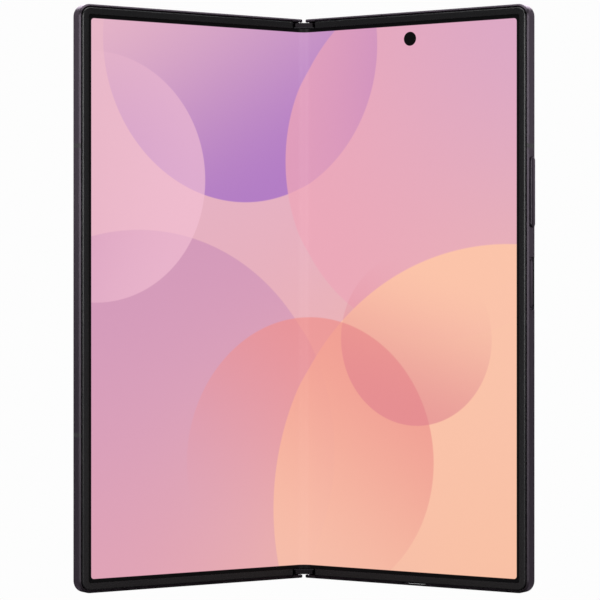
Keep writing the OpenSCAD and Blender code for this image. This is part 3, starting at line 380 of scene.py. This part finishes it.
def picture(tree, shader):
    """A lit picture of soft discs inside a black border, with the camera's hole kept black."""
    layer = node(tree, "ShaderNodeUVMap", uv_map="Screen")
    spot = node(tree, "ShaderNodeVectorMath", {0: layer.outputs[0], 1: (2 * SCREEN_U, BODY_H, 1)},
        operation="MULTIPLY")
    spot = node(tree, "ShaderNodeVectorMath", {0: spot.outputs[0], 1: (-SCREEN_U, 0, 0)}, operation="ADD")
    parts = node(tree, "ShaderNodeSeparateXYZ", {0: spot.outputs[0]})
    across = node(tree, "ShaderNodeMapRange", {"Value": parts.outputs["X"], "From Min": -70, "From Max": 70},
        interpolation_type="SMOOTHSTEP")
    upward = node(tree, "ShaderNodeMapRange", {"Value": parts.outputs["Y"], "From Min": 0, "From Max": 158},
        interpolation_type="SMOOTHSTEP")
    top = node(tree, "ShaderNodeMix", {0: across.outputs[0], 6: rgb("#e4b4c4"), 7: rgb("#d9a6c2")},
        data_type="RGBA")
    bottom = node(tree, "ShaderNodeMix", {0: across.outputs[0], 6: rgb("#dfa3b4"), 7: rgb("#f4bca2")},
        data_type="RGBA")
    colour = node(tree, "ShaderNodeMix", {0: upward.outputs[0], 6: bottom.outputs[2], 7: top.outputs[2]},
        data_type="RGBA").outputs[2]
    for centre, radius, tone, turn, strength in DISCS:
        offset = node(tree, "ShaderNodeVectorMath", {0: spot.outputs[0], 1: (*centre, 0)},
            operation="SUBTRACT")
        length = node(tree, "ShaderNodeVectorMath", {0: offset.outputs[0]}, operation="LENGTH")
        edge = node(tree, "ShaderNodeMapRange", {"Value": length.outputs["Value"], "From Min": radius - 0.25,
            "From Max": radius + 0.05, "To Min": 1.0, "To Max": 0.0})
        way = (math.cos(math.radians(turn)), math.sin(math.radians(turn)), 0)
        along = node(tree, "ShaderNodeVectorMath", {0: offset.outputs[0], 1: way}, operation="DOT_PRODUCT")
        gain = node(tree, "ShaderNodeMapRange", {"Value": along.outputs["Value"], "From Min": -0.9 * radius,
            "From Max": radius, "To Min": 0.0, "To Max": strength}, interpolation_type="SMOOTHSTEP")
        cover = node(tree, "ShaderNodeMath", {0: edge.outputs[0], 1: gain.outputs[0]}, operation="MULTIPLY")
        colour = node(tree, "ShaderNodeMix", {0: cover.outputs[0], 6: colour, 7: rgb(tone)},
            data_type="RGBA").outputs[2]
    # Rounded rectangle of lit pixels
    centred = node(tree, "ShaderNodeVectorMath", {0: spot.outputs[0], 1: (0, BODY_H / 2, 0)},
        operation="SUBTRACT")
    size = node(tree, "ShaderNodeVectorMath", {0: centred.outputs[0]}, operation="ABSOLUTE")
    past = node(tree, "ShaderNodeVectorMath", {0: size.outputs[0],
        1: (ACTIVE_U - ACTIVE_R, ACTIVE_Z - ACTIVE_R, 0)}, operation="SUBTRACT")
    beyond = node(tree, "ShaderNodeVectorMath", {0: past.outputs[0], 1: (0, 0, 0)}, operation="MAXIMUM")
    reach = node(tree, "ShaderNodeVectorMath", {0: beyond.outputs[0]}, operation="LENGTH")
    lit = node(tree, "ShaderNodeMapRange", {"Value": reach.outputs["Value"], "From Min": ACTIVE_R - 0.04,
        "From Max": ACTIVE_R + 0.04, "To Min": 1.0, "To Max": 0.0})
    from_hole = node(tree, "ShaderNodeVectorMath", {0: spot.outputs[0], 1: (PUNCH_U, PUNCH[1], 0)},
        operation="DISTANCE")
    clear_of = node(tree, "ShaderNodeMapRange", {"Value": from_hole.outputs["Value"],
        "From Min": PUNCH_R - 0.04, "From Max": PUNCH_R + 0.04})
    mask = node(tree, "ShaderNodeMath", {0: lit.outputs[0], 1: clear_of.outputs[0]}, operation="MULTIPLY")
    shown = node(tree, "ShaderNodeMix", {0: mask.outputs[0], 6: rgb("#050506"), 7: colour}, data_type="RGBA")
    glow = node(tree, "ShaderNodeMix", {0: mask.outputs[0], 6: (0, 0, 0, 1), 7: colour}, data_type="RGBA")
    dim = node(tree, "ShaderNodeMix", {0: 0.12, 6: rgb("#050506"), 7: shown.outputs[2]}, data_type="RGBA")
    tree.links.new(dim.outputs[2], shader.inputs["Base Color"])
    tree.links.new(glow.outputs[2], shader.inputs["Emission Color"])


# Flexible display under a clear hard-coated film: its own light, and a soft gloss on top
SCREEN = finish("lit_display_under_clear_film", {"Roughness": 0.4, "IOR": 1.5, "Specular IOR Level": 0.1,
    "Emission Strength": 0.9}, picture)


# Shapes

def piece(name, bm, place, body, material, angle=32):
    """Turns a bmesh drawn in millimetres into a finished object that rides on a body."""
    bmesh.ops.remove_doubles(bm, verts=bm.verts, dist=MERGE)
    bmesh.ops.recalc_face_normals(bm, faces=bm.faces)
    bmesh.ops.transform(bm, matrix=place, verts=bm.verts)
    if place.determinant() < 0:
        bmesh.ops.reverse_faces(bm, faces=bm.faces)
    for face in bm.faces:
        face.smooth = True
    for edge in bm.edges:
        edge.smooth = edge.is_manifold and edge.calc_face_angle(0) < math.radians(angle)
    mesh = bpy.data.meshes.new(name)
    bm.to_mesh(mesh)
    bm.free()
    made = bpy.data.objects.new(name, mesh)
    bpy.context.scene.collection.objects.link(made)
    mesh.materials.append(material)
    if body:
        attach(made, body)
    return made


def new_verts(result):
    return [g for g in result["geom"] if isinstance(g, bmesh.types.BMVert)]


def turned(bm, profile, s, z, steps=64):
    """A profile of radius and depth, spun round an axis that runs along the depth."""
    verts = [bm.verts.new((s + r, d, z)) for r, d in profile]
    edges = [bm.edges.new(pair) for pair in zip(verts, verts[1:])]
    bmesh.ops.spin(bm, geom=verts + edges, cent=(s, 0, z), axis=(0, 1, 0), angle=2 * math.pi,
        steps=steps, use_merge=True, use_duplicate=False)


# A plate's own axes are width, height and thickness: LYING turns its thickness along the depth
LYING = Matrix.Rotation(math.radians(-90), 4, "X")
OUTWARD = Matrix.Rotation(math.radians(90), 4, "Y") @ Matrix.Rotation(math.radians(90), 4, "Z")


def rounded_plate(bm, s, d, z, turn, width, height, thick, corner, edge):
    """Adds a plate with rounded corners and a rounded far rim, whose near face is centred on a point."""
    part = bmesh.new()
    bmesh.ops.create_grid(part, x_segments=1, y_segments=1, size=0.5,
        matrix=Matrix.Diagonal((width, height, 1, 1)))
    bmesh.ops.bevel(part, geom=part.verts[:], offset=corner, segments=12, profile=0.5,
        affect="VERTICES", material=-1)
    lid = bmesh.ops.extrude_face_region(part, geom=part.faces[:], use_keep_orig=True)
    bmesh.ops.translate(part, verts=new_verts(lid), vec=(0, 0, thick))
    face = next(g for g in lid["geom"] if isinstance(g, bmesh.types.BMFace))
    bmesh.ops.bevel(part, geom=face.edges[:], offset=edge, segments=4, profile=0.5, affect="EDGES",
        material=-1)
    bmesh.ops.transform(part, matrix=Matrix.Translation((s, d, z)) @ turn, verts=part.verts)
    joined = bpy.data.meshes.new("part")
    part.to_mesh(joined)
    part.free()
    bm.from_mesh(joined)
    bpy.data.meshes.remove(joined)


def bezel(side):
    """The raised trim round three sides of one screen half, swept round its two corners."""
    bm = bmesh.new()
    outline = [(TRIM_OUT, WEB_D), (TRIM_OUT, 0), (TRIM_IN, 0), (TRIM_IN, DISPLAY_D - 0.01),
        (TRIM_OUT + TRIM_LIP, DISPLAY_D - 0.01), (TRIM_OUT + TRIM_LIP, WEB_D)]
    verts = [bm.verts.new((TRIM_S, d, BODY_H - inset)) for inset, d in outline]
    bm.faces.new(verts)
    bmesh.ops.bevel(bm, geom=[verts[1]], offset=TRIM_OUTER_R, segments=6, profile=0.5, affect="VERTICES",
        material=-1)
    inner_edge = [v for v in bm.verts if abs(v.co.z - (BODY_H - TRIM_IN)) < 1e-6 and abs(v.co.y) < 1e-6]
    bmesh.ops.bevel(bm, geom=inner_edge, offset=TRIM_INNER_R, segments=5, profile=0.5,
        affect="VERTICES", material=-1)
    start = bm.faces[:]
    corner_s = HALF_W - CORNER_R
    front = bmesh.ops.extrude_face_region(bm, geom=start, use_keep_orig=True)
    bmesh.ops.translate(bm, verts=new_verts(front), vec=(corner_s - TRIM_S, 0, 0))
    for corner_z, run in ((BODY_H - CORNER_R, -(BODY_H - 2 * CORNER_R)), (CORNER_R, 0)):
        face = [g for g in front["geom"] if isinstance(g, bmesh.types.BMFace)]
        turned_end = bmesh.ops.spin(bm, geom=face, cent=(corner_s, 0, corner_z), axis=(0, 1, 0),
            angle=math.radians(90), steps=10, use_merge=False, use_duplicate=False)
        face = [g for g in turned_end["geom_last"] if isinstance(g, bmesh.types.BMFace)]
        front = bmesh.ops.extrude_face_region(bm, geom=face)
        step = (0, 0, run) if run else (TRIM_S - corner_s, 0, 0)
        bmesh.ops.translate(bm, verts=new_verts(front), vec=step)
    # The sweep leaves a wall inside wherever it changes direction
    bmesh.ops.remove_doubles(bm, verts=bm.verts, dist=MERGE)
    inside = [face for face in bm.faces if all(len(edge.link_faces) > 2 for edge in face.edges)]
    bmesh.ops.delete(bm, geom=inside, context="FACES_ONLY")
    made = piece(f"{side}_screen_trim", bm, HALVES[side], f"{side}_half", TRIM)
    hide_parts(f"{side}_trim")
    return made


def folded(point):
    """Where a point of the spread-out screen (distance from the fold, height, depth) lies when folded."""
    u, z, d = point
    if u < ARC_LEN:
        reach = FOLD_R + d - DISPLAY_D
        return Vector((reach * math.sin(u / FOLD_R), FOLD_Y + reach * math.cos(u / FOLD_R), z))
    return FOLDED @ Vector((ARC_END_S + u - ARC_LEN, d, z))


def screen_sheet(side):
    """One half of the display from the fold's middle outwards, which bends where the phone folds."""
    bm = bmesh.new()
    layer = bm.loops.layers.uv.new("Screen")
    grid = bmesh.ops.create_grid(bm, x_segments=60, y_segments=24, size=0.5)["verts"]
    near, share = 6.0, 0.5
    for v in grid:
        t = v.co.x + 0.5
        u = near * t / share if t < share else near + (SCREEN_U - near) * (t - share) / (1 - share)
        end = FREE_EDGE if u < FREE_RUN else SCREEN_INSET
        v.co = (u, end + (v.co.y + 0.5) * (BODY_H - 2 * end), DISPLAY_D)
    corners = [v for v in bm.verts if v.is_boundary and len(v.link_edges) == 2 and v.co.x > 10]
    bmesh.ops.bevel(bm, geom=corners, offset=SCREEN_R, segments=6, profile=0.5, affect="VERTICES",
        material=-1)
    sign = -1 if side == "left" else 1
    for face in bm.faces:
        for loop in face.loops:
            u, z = loop.vert.co.x, loop.vert.co.y
            loop[layer].uv = (0.5 + sign * u / (2 * SCREEN_U), z / BODY_H)
    back = new_verts(bmesh.ops.extrude_face_region(bm, geom=bm.faces[:], use_keep_orig=True))
    bmesh.ops.translate(bm, verts=back, vec=(0, 0, DISPLAY_T))
    for v in bm.verts:
        v.co = folded(v.co)
    place = MIRROR @ SPINE if side == "left" else SPINE
    made = piece(f"inner_screen_{side}", bm, place, None, SCREEN, 50)
    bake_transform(made)
    nodes = ["left_display", "display_fold"] if side == "left" else ["right_display"]
    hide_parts(*nodes)
    return made


def key(name, body, z, length, face_s):
    """A pill-shaped key with a rounded rim, drawn on its end and pushed out through the wall."""
    bm = bmesh.new()
    rounded_plate(bm, HALF_W - KEY_ROOT, KEY_D, z, OUTWARD, KEY_W, length, face_s - HALF_W + KEY_ROOT,
        KEY_W / 2 - 0.01, KEY_EDGE)
    made = piece(name, bm, RIGHT, body, ANODISED)
    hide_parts(body)
    return made


def island_plate():
    """The camera island: a rim swept round its long oval, then a top with the lens and lamp holes."""
    bm = bmesh.new()
    low_z, high_z = LENS_ZS[1] - ISLAND_RUN, LENS_ZS[1] + ISLAND_RUN
    arc = [math.radians(90 * i / 6) for i in range(7)]
    profile = [(ISLAND_R, BACK_D)] + [(ISLAND_R - ISLAND_EDGE * (1 - math.cos(a)),
        ISLAND_D - ISLAND_EDGE * (1 - math.sin(a))) for a in arc]
    verts = [bm.verts.new((LENS_S + r, d, low_z)) for r, d in profile]
    line = [bm.edges.new(pair) for pair in zip(verts, verts[1:])]
    for centre_z, run in ((high_z, 2 * ISLAND_RUN), (low_z, -2 * ISLAND_RUN)):
        far = bmesh.ops.extrude_edge_only(bm, edges=line)["geom"]
        ends = [g for g in far if isinstance(g, bmesh.types.BMVert)]
        bmesh.ops.translate(bm, verts=ends, vec=(0, 0, run))
        line = [g for g in far if isinstance(g, bmesh.types.BMEdge) and all(v in ends for v in g.verts)]
        spun = bmesh.ops.spin(bm, geom=ends + line, cent=(LENS_S, 0, centre_z), axis=(0, -1, 0),
            angle=math.pi, steps=32, use_merge=False, use_duplicate=False)
        line = [g for g in spun["geom_last"] if isinstance(g, bmesh.types.BMEdge)]
    bmesh.ops.remove_doubles(bm, verts=bm.verts, dist=MERGE)
    for z, r in [(z, LENS_R + FIT) for z in LENS_ZS] + [(FLASH_Z, FLASH_R + FIT)]:
        ring = bmesh.ops.create_circle(bm, segments=48, radius=r,
            matrix=Matrix.Translation((LENS_S, ISLAND_D, z)) @ LYING)["verts"]
        rim = list({e for v in ring for e in v.link_edges})
        wall = new_verts(bmesh.ops.extrude_edge_only(bm, edges=rim))
        bmesh.ops.translate(bm, verts=wall, vec=(0, BACK_D - ISLAND_D, 0))
    for d in (ISLAND_D, BACK_D):
        loops = [e for e in bm.edges if e.is_boundary and all(abs(v.co.y - d) < 1e-4 for v in e.verts)]
        bmesh.ops.triangle_fill(bm, use_beauty=True, use_dissolve=False, edges=loops, normal=(0, 1, 0))
    made = piece("camera_island_plate", bm, RIGHT, "right_half", ANODISED)
    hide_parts("camera_island")
    rings = bmesh.new()
    for z in LENS_ZS:
        turned(rings, [(LENS_R + 0.02, ISLAND_D - 0.1), (RING_R, ISLAND_D - 0.1), (RING_R, RING_D - 0.2),
            (RING_R - 0.06, RING_D - 0.06), (RING_R - 0.2, RING_D), (LENS_R + 0.42, RING_D),
            (LENS_R + 0.32, RING_D - 0.04), (LENS_R + 0.02, RING_D - 0.22),
            (LENS_R + 0.02, ISLAND_D - 0.1)], LENS_S, z, 72)
    made = piece("camera_lens_rings", rings, RIGHT, "right_half", RINGS, 20)
    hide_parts("lens_rings")


def hinge_caps():
    """The hinge's end caps: the CAD blocks with a narrower, lower cap between the two frames."""
    for end in ("top", "bottom"):
        bm = bmesh.new()
        bm.from_mesh(frame["nodes"][f"end_block_{end}"].data)
        bmesh.ops.remove_doubles(bm, verts=bm.verts, dist=1e-7)
        bmesh.ops.transform(bm, matrix=SPINE.inverted(), verts=bm.verts)
        inward = -1 if end == "top" else 1
        edge_z = max(v.co.z * -inward for v in bm.verts) * -inward
        for v in bm.verts:
            if v.co.y < CAP_FOOT_D and abs(v.co.x) > CAP_HALF_W:
                v.co.x = math.copysign(CAP_HALF_W, v.co.x)
            if abs(v.co.z - edge_z) < 1e-4:
                v.co.z = edge_z + inward * CAP_DROP
        made = piece(f"hinge_cap_{end}", bm, SPINE, "spine", CAPS)
        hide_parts(f"end_block_{end}")


def lens_group():
    """Stepped barrels behind the rear windows, each with three rings, and their coated elements."""
    barrels, elements = bmesh.new(), bmesh.new()
    top = ISLAND_D - 0.12
    for z, opening in zip(LENS_ZS, LENS_OPENINGS):
        rounded_plate(barrels, LENS_S, MODULE_D, z, LYING, MODULE_W, MODULE_W, MODULE_T, 0.8, 0.15)
        turned(barrels, [(0, 3.6), (4.98, 3.6), (4.98, top - 0.1), (4.88, top), (4.35, top),
            (4.3, top - 0.18), (3.8, top - 0.18), (3.7, top - 0.42), (3.3, top - 0.46), (3.2, top - 0.72),
            (opening + 0.25, top - 0.76), (opening, top - 1.0), (0, top - 1.0)], LENS_S, z)
        bow = 0.32
        arc = [(opening * math.sin(math.radians(a)), top - 1.0 + bow * math.cos(math.radians(a)))
            for a in range(0, 91, 9)]
        turned(elements, arc + [(opening, top - 1.05), (0, top - 1.05)], LENS_S, z)
    made = piece("rear_camera_barrels", barrels, RIGHT, "right_half", HOUSING)
    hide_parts("rear_cameras")
    piece("rear_lens_elements", elements, RIGHT, "right_half", LENS)
    windows = bmesh.new()
    for z in LENS_ZS:
        turned(windows, [(0, ISLAND_D - 0.1), (LENS_R, ISLAND_D - 0.1), (LENS_R, RING_D - 0.29),
            (LENS_R - 0.08, RING_D - 0.25), (0, RING_D - 0.25)], LENS_S, z)
    made = piece("rear_lens_windows", windows, RIGHT, "right_half", WINDOW)
    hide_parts("lens_glasses")


def flash_lamp():
    """The lamp's lens, moulded in fine rings over its phosphor."""
    bm = bmesh.new()
    top = ISLAND_D + 0.02
    rings = []
    for i in range(5):
        r = 0.16 + i * 0.15
        rings += [(r, top), (r + 0.02, top - 0.05)]
    turned(bm, [(0, top)] + rings + [(FLASH_R - 0.02, top), (FLASH_R, top - 0.04), (FLASH_R, ISLAND_D - 0.5),
        (0, ISLAND_D - 0.5)], LENS_S, FLASH_Z, 48)
    made = piece("flash_lens", bm, RIGHT, "right_half", PHOSPHOR)
    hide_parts("flash_led")


def inner_eye():
    """The inner camera in the screen's hole: a black collar, a step and a small domed element."""
    s, z = PUNCH
    collar, element = bmesh.new(), bmesh.new()
    front, back = DISPLAY_D + 0.01, 0.78
    turned(collar, [(0, back), (PUNCH_R - 0.02, back), (PUNCH_R - 0.02, front), (1.42, front),
        (1.34, front + 0.1), (1.22, front + 0.12), (1.2, front + 0.3), (0, front + 0.3)], s, z)
    made = piece("inner_camera_collar", collar, RIGHT, "right_half", COVER)
    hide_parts("inner_camera_lens")
    arc = [(1.2 * math.sin(math.radians(a)), front + 0.3 - 0.22 * math.cos(math.radians(a)))
        for a in range(0, 91, 10)]
    turned(element, arc + [(1.2, front + 0.34), (0, front + 0.34)], s, z, 48)
    piece("inner_camera_element", element, RIGHT, "right_half", EYE)


def cover_eye():
    """The cover camera's ring and lens, set into the cover glass."""
    bm = bmesh.new()
    top = BACK_D + 0.02
    turned(bm, [(0, BACK_D - 0.3), (1.75, BACK_D - 0.3), (1.75, top - 0.02), (1.7, top), (1.5, top),
        (1.46, top - 0.03), (1.1, top - 0.03), (1.05, top - 0.06), (0.6, top - 0.02), (0, top)],
        COVER_CAM_S, PUNCH[1], 48)
    piece("cover_camera_lens", bm, LEFT, "left_half", EYE)


def socket():
    """The charging socket's tongue and its plated contacts."""
    tongue, contacts = bmesh.new(), bmesh.new()
    downward = Matrix.Rotation(math.radians(180), 4, "X")
    rounded_plate(tongue, USB_S, USB_D, TONGUE_ROOT_Z, downward, TONGUE_W, TONGUE_T, TONGUE_RUN, 0.2, 0.1)
    for i in range(12):
        for sign, turn in ((1, LYING), (-1, LYING.inverted())):
            rounded_plate(contacts, USB_S + (i - 5.5) * CONTACT_PITCH, USB_D + sign * 0.36, CONTACT_Z, turn,
                CONTACT_W, CONTACT_RUN, CONTACT_T, 0.04, 0.01)
    piece("socket_tongue", tongue, RIGHT, "right_half", HOUSING)
    piece("socket_contacts", contacts, RIGHT, "right_half", GOLD)


def acoustic_mesh(name, side, mid, places, z):
    """Discs of woven mesh behind one row of sound holes."""
    bm = bmesh.new()
    for i in places:
        disc = bmesh.ops.create_circle(bm, cap_ends=True, segments=20, radius=SOUND_MESH_R,
            matrix=Matrix.Translation((mid + i * SOUND_PITCH, SOUND_D, z)))
        faces = list({f for v in disc["verts"] for f in v.link_faces})
        top = new_verts(bmesh.ops.extrude_face_region(bm, geom=faces, use_keep_orig=True))
        bmesh.ops.translate(bm, verts=top, vec=(0, 0, SOUND_MESH_T))
    piece(name, bm, HALVES[side], f"{side}_half", MESH)


def flex_ribbons(side):
    """Ribbon cables across the hinge: each runs under the support plate, then hangs in the trough."""
    bm = bmesh.new()
    knots = [FOLDED @ Vector((9.1, 1.35, 0)), FOLDED @ Vector((6.4, 1.35, 0)),
        FOLDED @ Vector((3.8, 1.35, 0)), Vector((3.08, 1.6, 0)), Vector((2.4, 2.52, 0)),
        Vector((1.0, 2.95, 0)), Vector((0, 2.98, 0))]
    low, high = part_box("flex_cables")
    route = [knots[0]]
    for before, here, there, after in zip([knots[0]] + knots, knots, knots[1:], knots[2:] + [knots[-1]]):
        route += interpolate_bezier(here, here + (there - before) / 6, there - (after - here) / 6,
            there, 7)[1:]
    for z in (low.z / METRE, high.z / METRE - FLEX_W):
        verts = [bm.verts.new((point.x, point.y, z)) for point in route]
        line = [bm.edges.new(pair) for pair in zip(verts, verts[1:])]
        across = new_verts(bmesh.ops.extrude_edge_only(bm, edges=line))
        bmesh.ops.translate(bm, verts=across, vec=(0, 0, FLEX_W))
    bmesh.ops.recalc_face_normals(bm, faces=bm.faces)
    bmesh.ops.solidify(bm, geom=bm.faces[:], thickness=FLEX_T)
    made = piece(f"flex_ribbons_{side}", bm, MIRROR @ SPINE if side == "left" else SPINE, None,
        FILM)
    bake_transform(made)
    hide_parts("flex_cables")


for side in ("left", "right"):
    screen_sheet(side)
    flex_ribbons(side)
    bezel(side)
key("volume_rocker_cap", "volume_key", VOLUME_Z, VOLUME_RUN, HALF_W + VOLUME_STAND)
key("power_key_cap", "power_key", POWER_Z, POWER_RUN, HALF_W - POWER_SINK)
island_plate()
hinge_caps()
lens_group()
flash_lamp()
inner_eye()
cover_eye()
socket()
acoustic_mesh("earpiece_mesh", "left", EARPIECE_S, (-1.5, -0.5, 0.5, 1.5), BODY_H - 0.9)
acoustic_mesh("speaker_mesh", "right", SPEAKER_S, (-2.5, -1.5, -0.5, 0.5, 1.5, 2.5), 0.84)

# Finish of each carried-over CAD node, by the record's material slot
FINISHES = {
    "anodised_metal": ANODISED, "band_plastic": BAND, "trim_polymer": TRIM, "screen": SCREEN,
    "support_steel": STEEL, "spring_bronze": BRONZE, "flex_film": FILM, "lens_glass": WINDOW,
    "panel": COVER, "camera_body": HOUSING, "pouch": POUCH, "circuit_board": BOARD,
    "speaker_housing": HOUSING, "lamp": PHOSPHOR, "copper": COPPER, "back_glass": ETCHED,
}
# Two nodes drawn in another finish than their slot's: the cover glass in its own polished black, the gear
# plates near black as painted shade
NODE_FINISHES = {"cover_glass": COVER, "gear_plates": SHADE_DARKENED_STEEL}
for part in frame["record"]["subparts"]:
    name = part["node"]
    material = NODE_FINISHES.get(name, FINISHES[part["material_slot"]])
    mesh = frame["nodes"][name].data
    mesh.materials.clear()
    mesh.materials.append(material)

# Studio

def softbox(name, place, aim, size, power, tint="#ffffff"):
    """A rectangular softbox that faces a point."""
    lamp = bpy.data.lights.new(name, "AREA")
    lamp.shape = "RECTANGLE"
    lamp.size, lamp.size_y = size
    lamp.energy = power
    lamp.color = rgb(tint)[:3]
    holder = bpy.data.objects.new(name, lamp)
    bpy.context.scene.collection.objects.link(holder)
    holder.location = place
    holder.rotation_mode = "QUATERNION"
    holder.rotation_quaternion = (Vector(aim) - Vector(place)).to_track_quat("-Z", "Y")


MIDDLE = (0, 0, 0.08)
BACKDROP = rgb("#fdfdfd")
for side, x, front_power in (("left", -1, 8.8), ("right", 1, 7.6)):
    softbox(f"{side}_front_softbox", (0.62 * x, -1.4, 0.31), MIDDLE, (0.7, 0.5), front_power)
    softbox(f"{side}_fill_softbox", (1.3 * x, 0.85, 0.45), MIDDLE, (0.8, 0.8), 1.9)
    softbox(f"{side}_back_softbox", (0.55 * x, 1.7, 0.8), MIDDLE, (1.0, 1.3), 18)
softbox("overhead_softbox", (0, -0.3, 1.5), MIDDLE, (1.6, 1.6), 32)
softbox("rear_overhead_softbox", (0, 1.3, 1.5), MIDDLE, (1.2, 0.6), 10)

world = bpy.data.worlds.new("pale_studio")
bpy.context.scene.world = world
world.use_nodes = True
world.node_tree.nodes.clear()
ray = node(world.node_tree, "ShaderNodeLightPath")
room = node(world.node_tree, "ShaderNodeMix", {0: ray.outputs["Is Camera Ray"], 6: (0.125, 0.122, 0.127, 1),
    7: BACKDROP}, data_type="RGBA")
sky = node(world.node_tree, "ShaderNodeBackground", {"Color": room.outputs[2], "Strength": 1.0})
node(world.node_tree, "ShaderNodeOutputWorld", {"Surface": sky.outputs[0]})

# Plain pale table, which the camera sees in the backdrop's own tone, without a line between them
bm = bmesh.new()
bmesh.ops.create_circle(bm, cap_ends=True, segments=96, radius=40.0)
floor_mesh = bpy.data.meshes.new("pale_floor")
bm.to_mesh(floor_mesh)
bm.free()
floor = bpy.data.objects.new("pale_floor", floor_mesh)
bpy.context.scene.collection.objects.link(floor)
paper = finish("pale_matt_table", {"Base Color": rgb("#828183"), "Roughness": 0.7,
    "Specular IOR Level": 0.1})
tree = paper.node_tree
lift = node(tree, "ShaderNodeEmission", {"Color": BACKDROP, "Strength": 1.0})
seen = node(tree, "ShaderNodeLightPath")
both = node(tree, "ShaderNodeMixShader", {0: seen.outputs["Is Camera Ray"],
    1: tree.nodes["Principled BSDF"].outputs[0], 2: lift.outputs[0]})
tree.links.new(both.outputs[0], tree.nodes["Material Output"].inputs["Surface"])
floor_mesh.materials.append(paper)

camera_data = bpy.data.cameras.new("photo_camera")
camera_data.sensor_width = 36
camera_data.lens = 145.46
camera_data.shift_x = -0.0066
camera_data.shift_y = -0.0024
camera_data.clip_start = 0.05
camera_data.clip_end = 100
camera = bpy.data.objects.new("photo_camera", camera_data)
bpy.context.scene.collection.objects.link(camera)
camera.location = (0, -0.67055, 0.0792)
camera.rotation_euler = (math.radians(90), 0, 0)
bpy.context.scene.camera = camera
bpy.context.scene.view_settings.view_transform = "Standard"
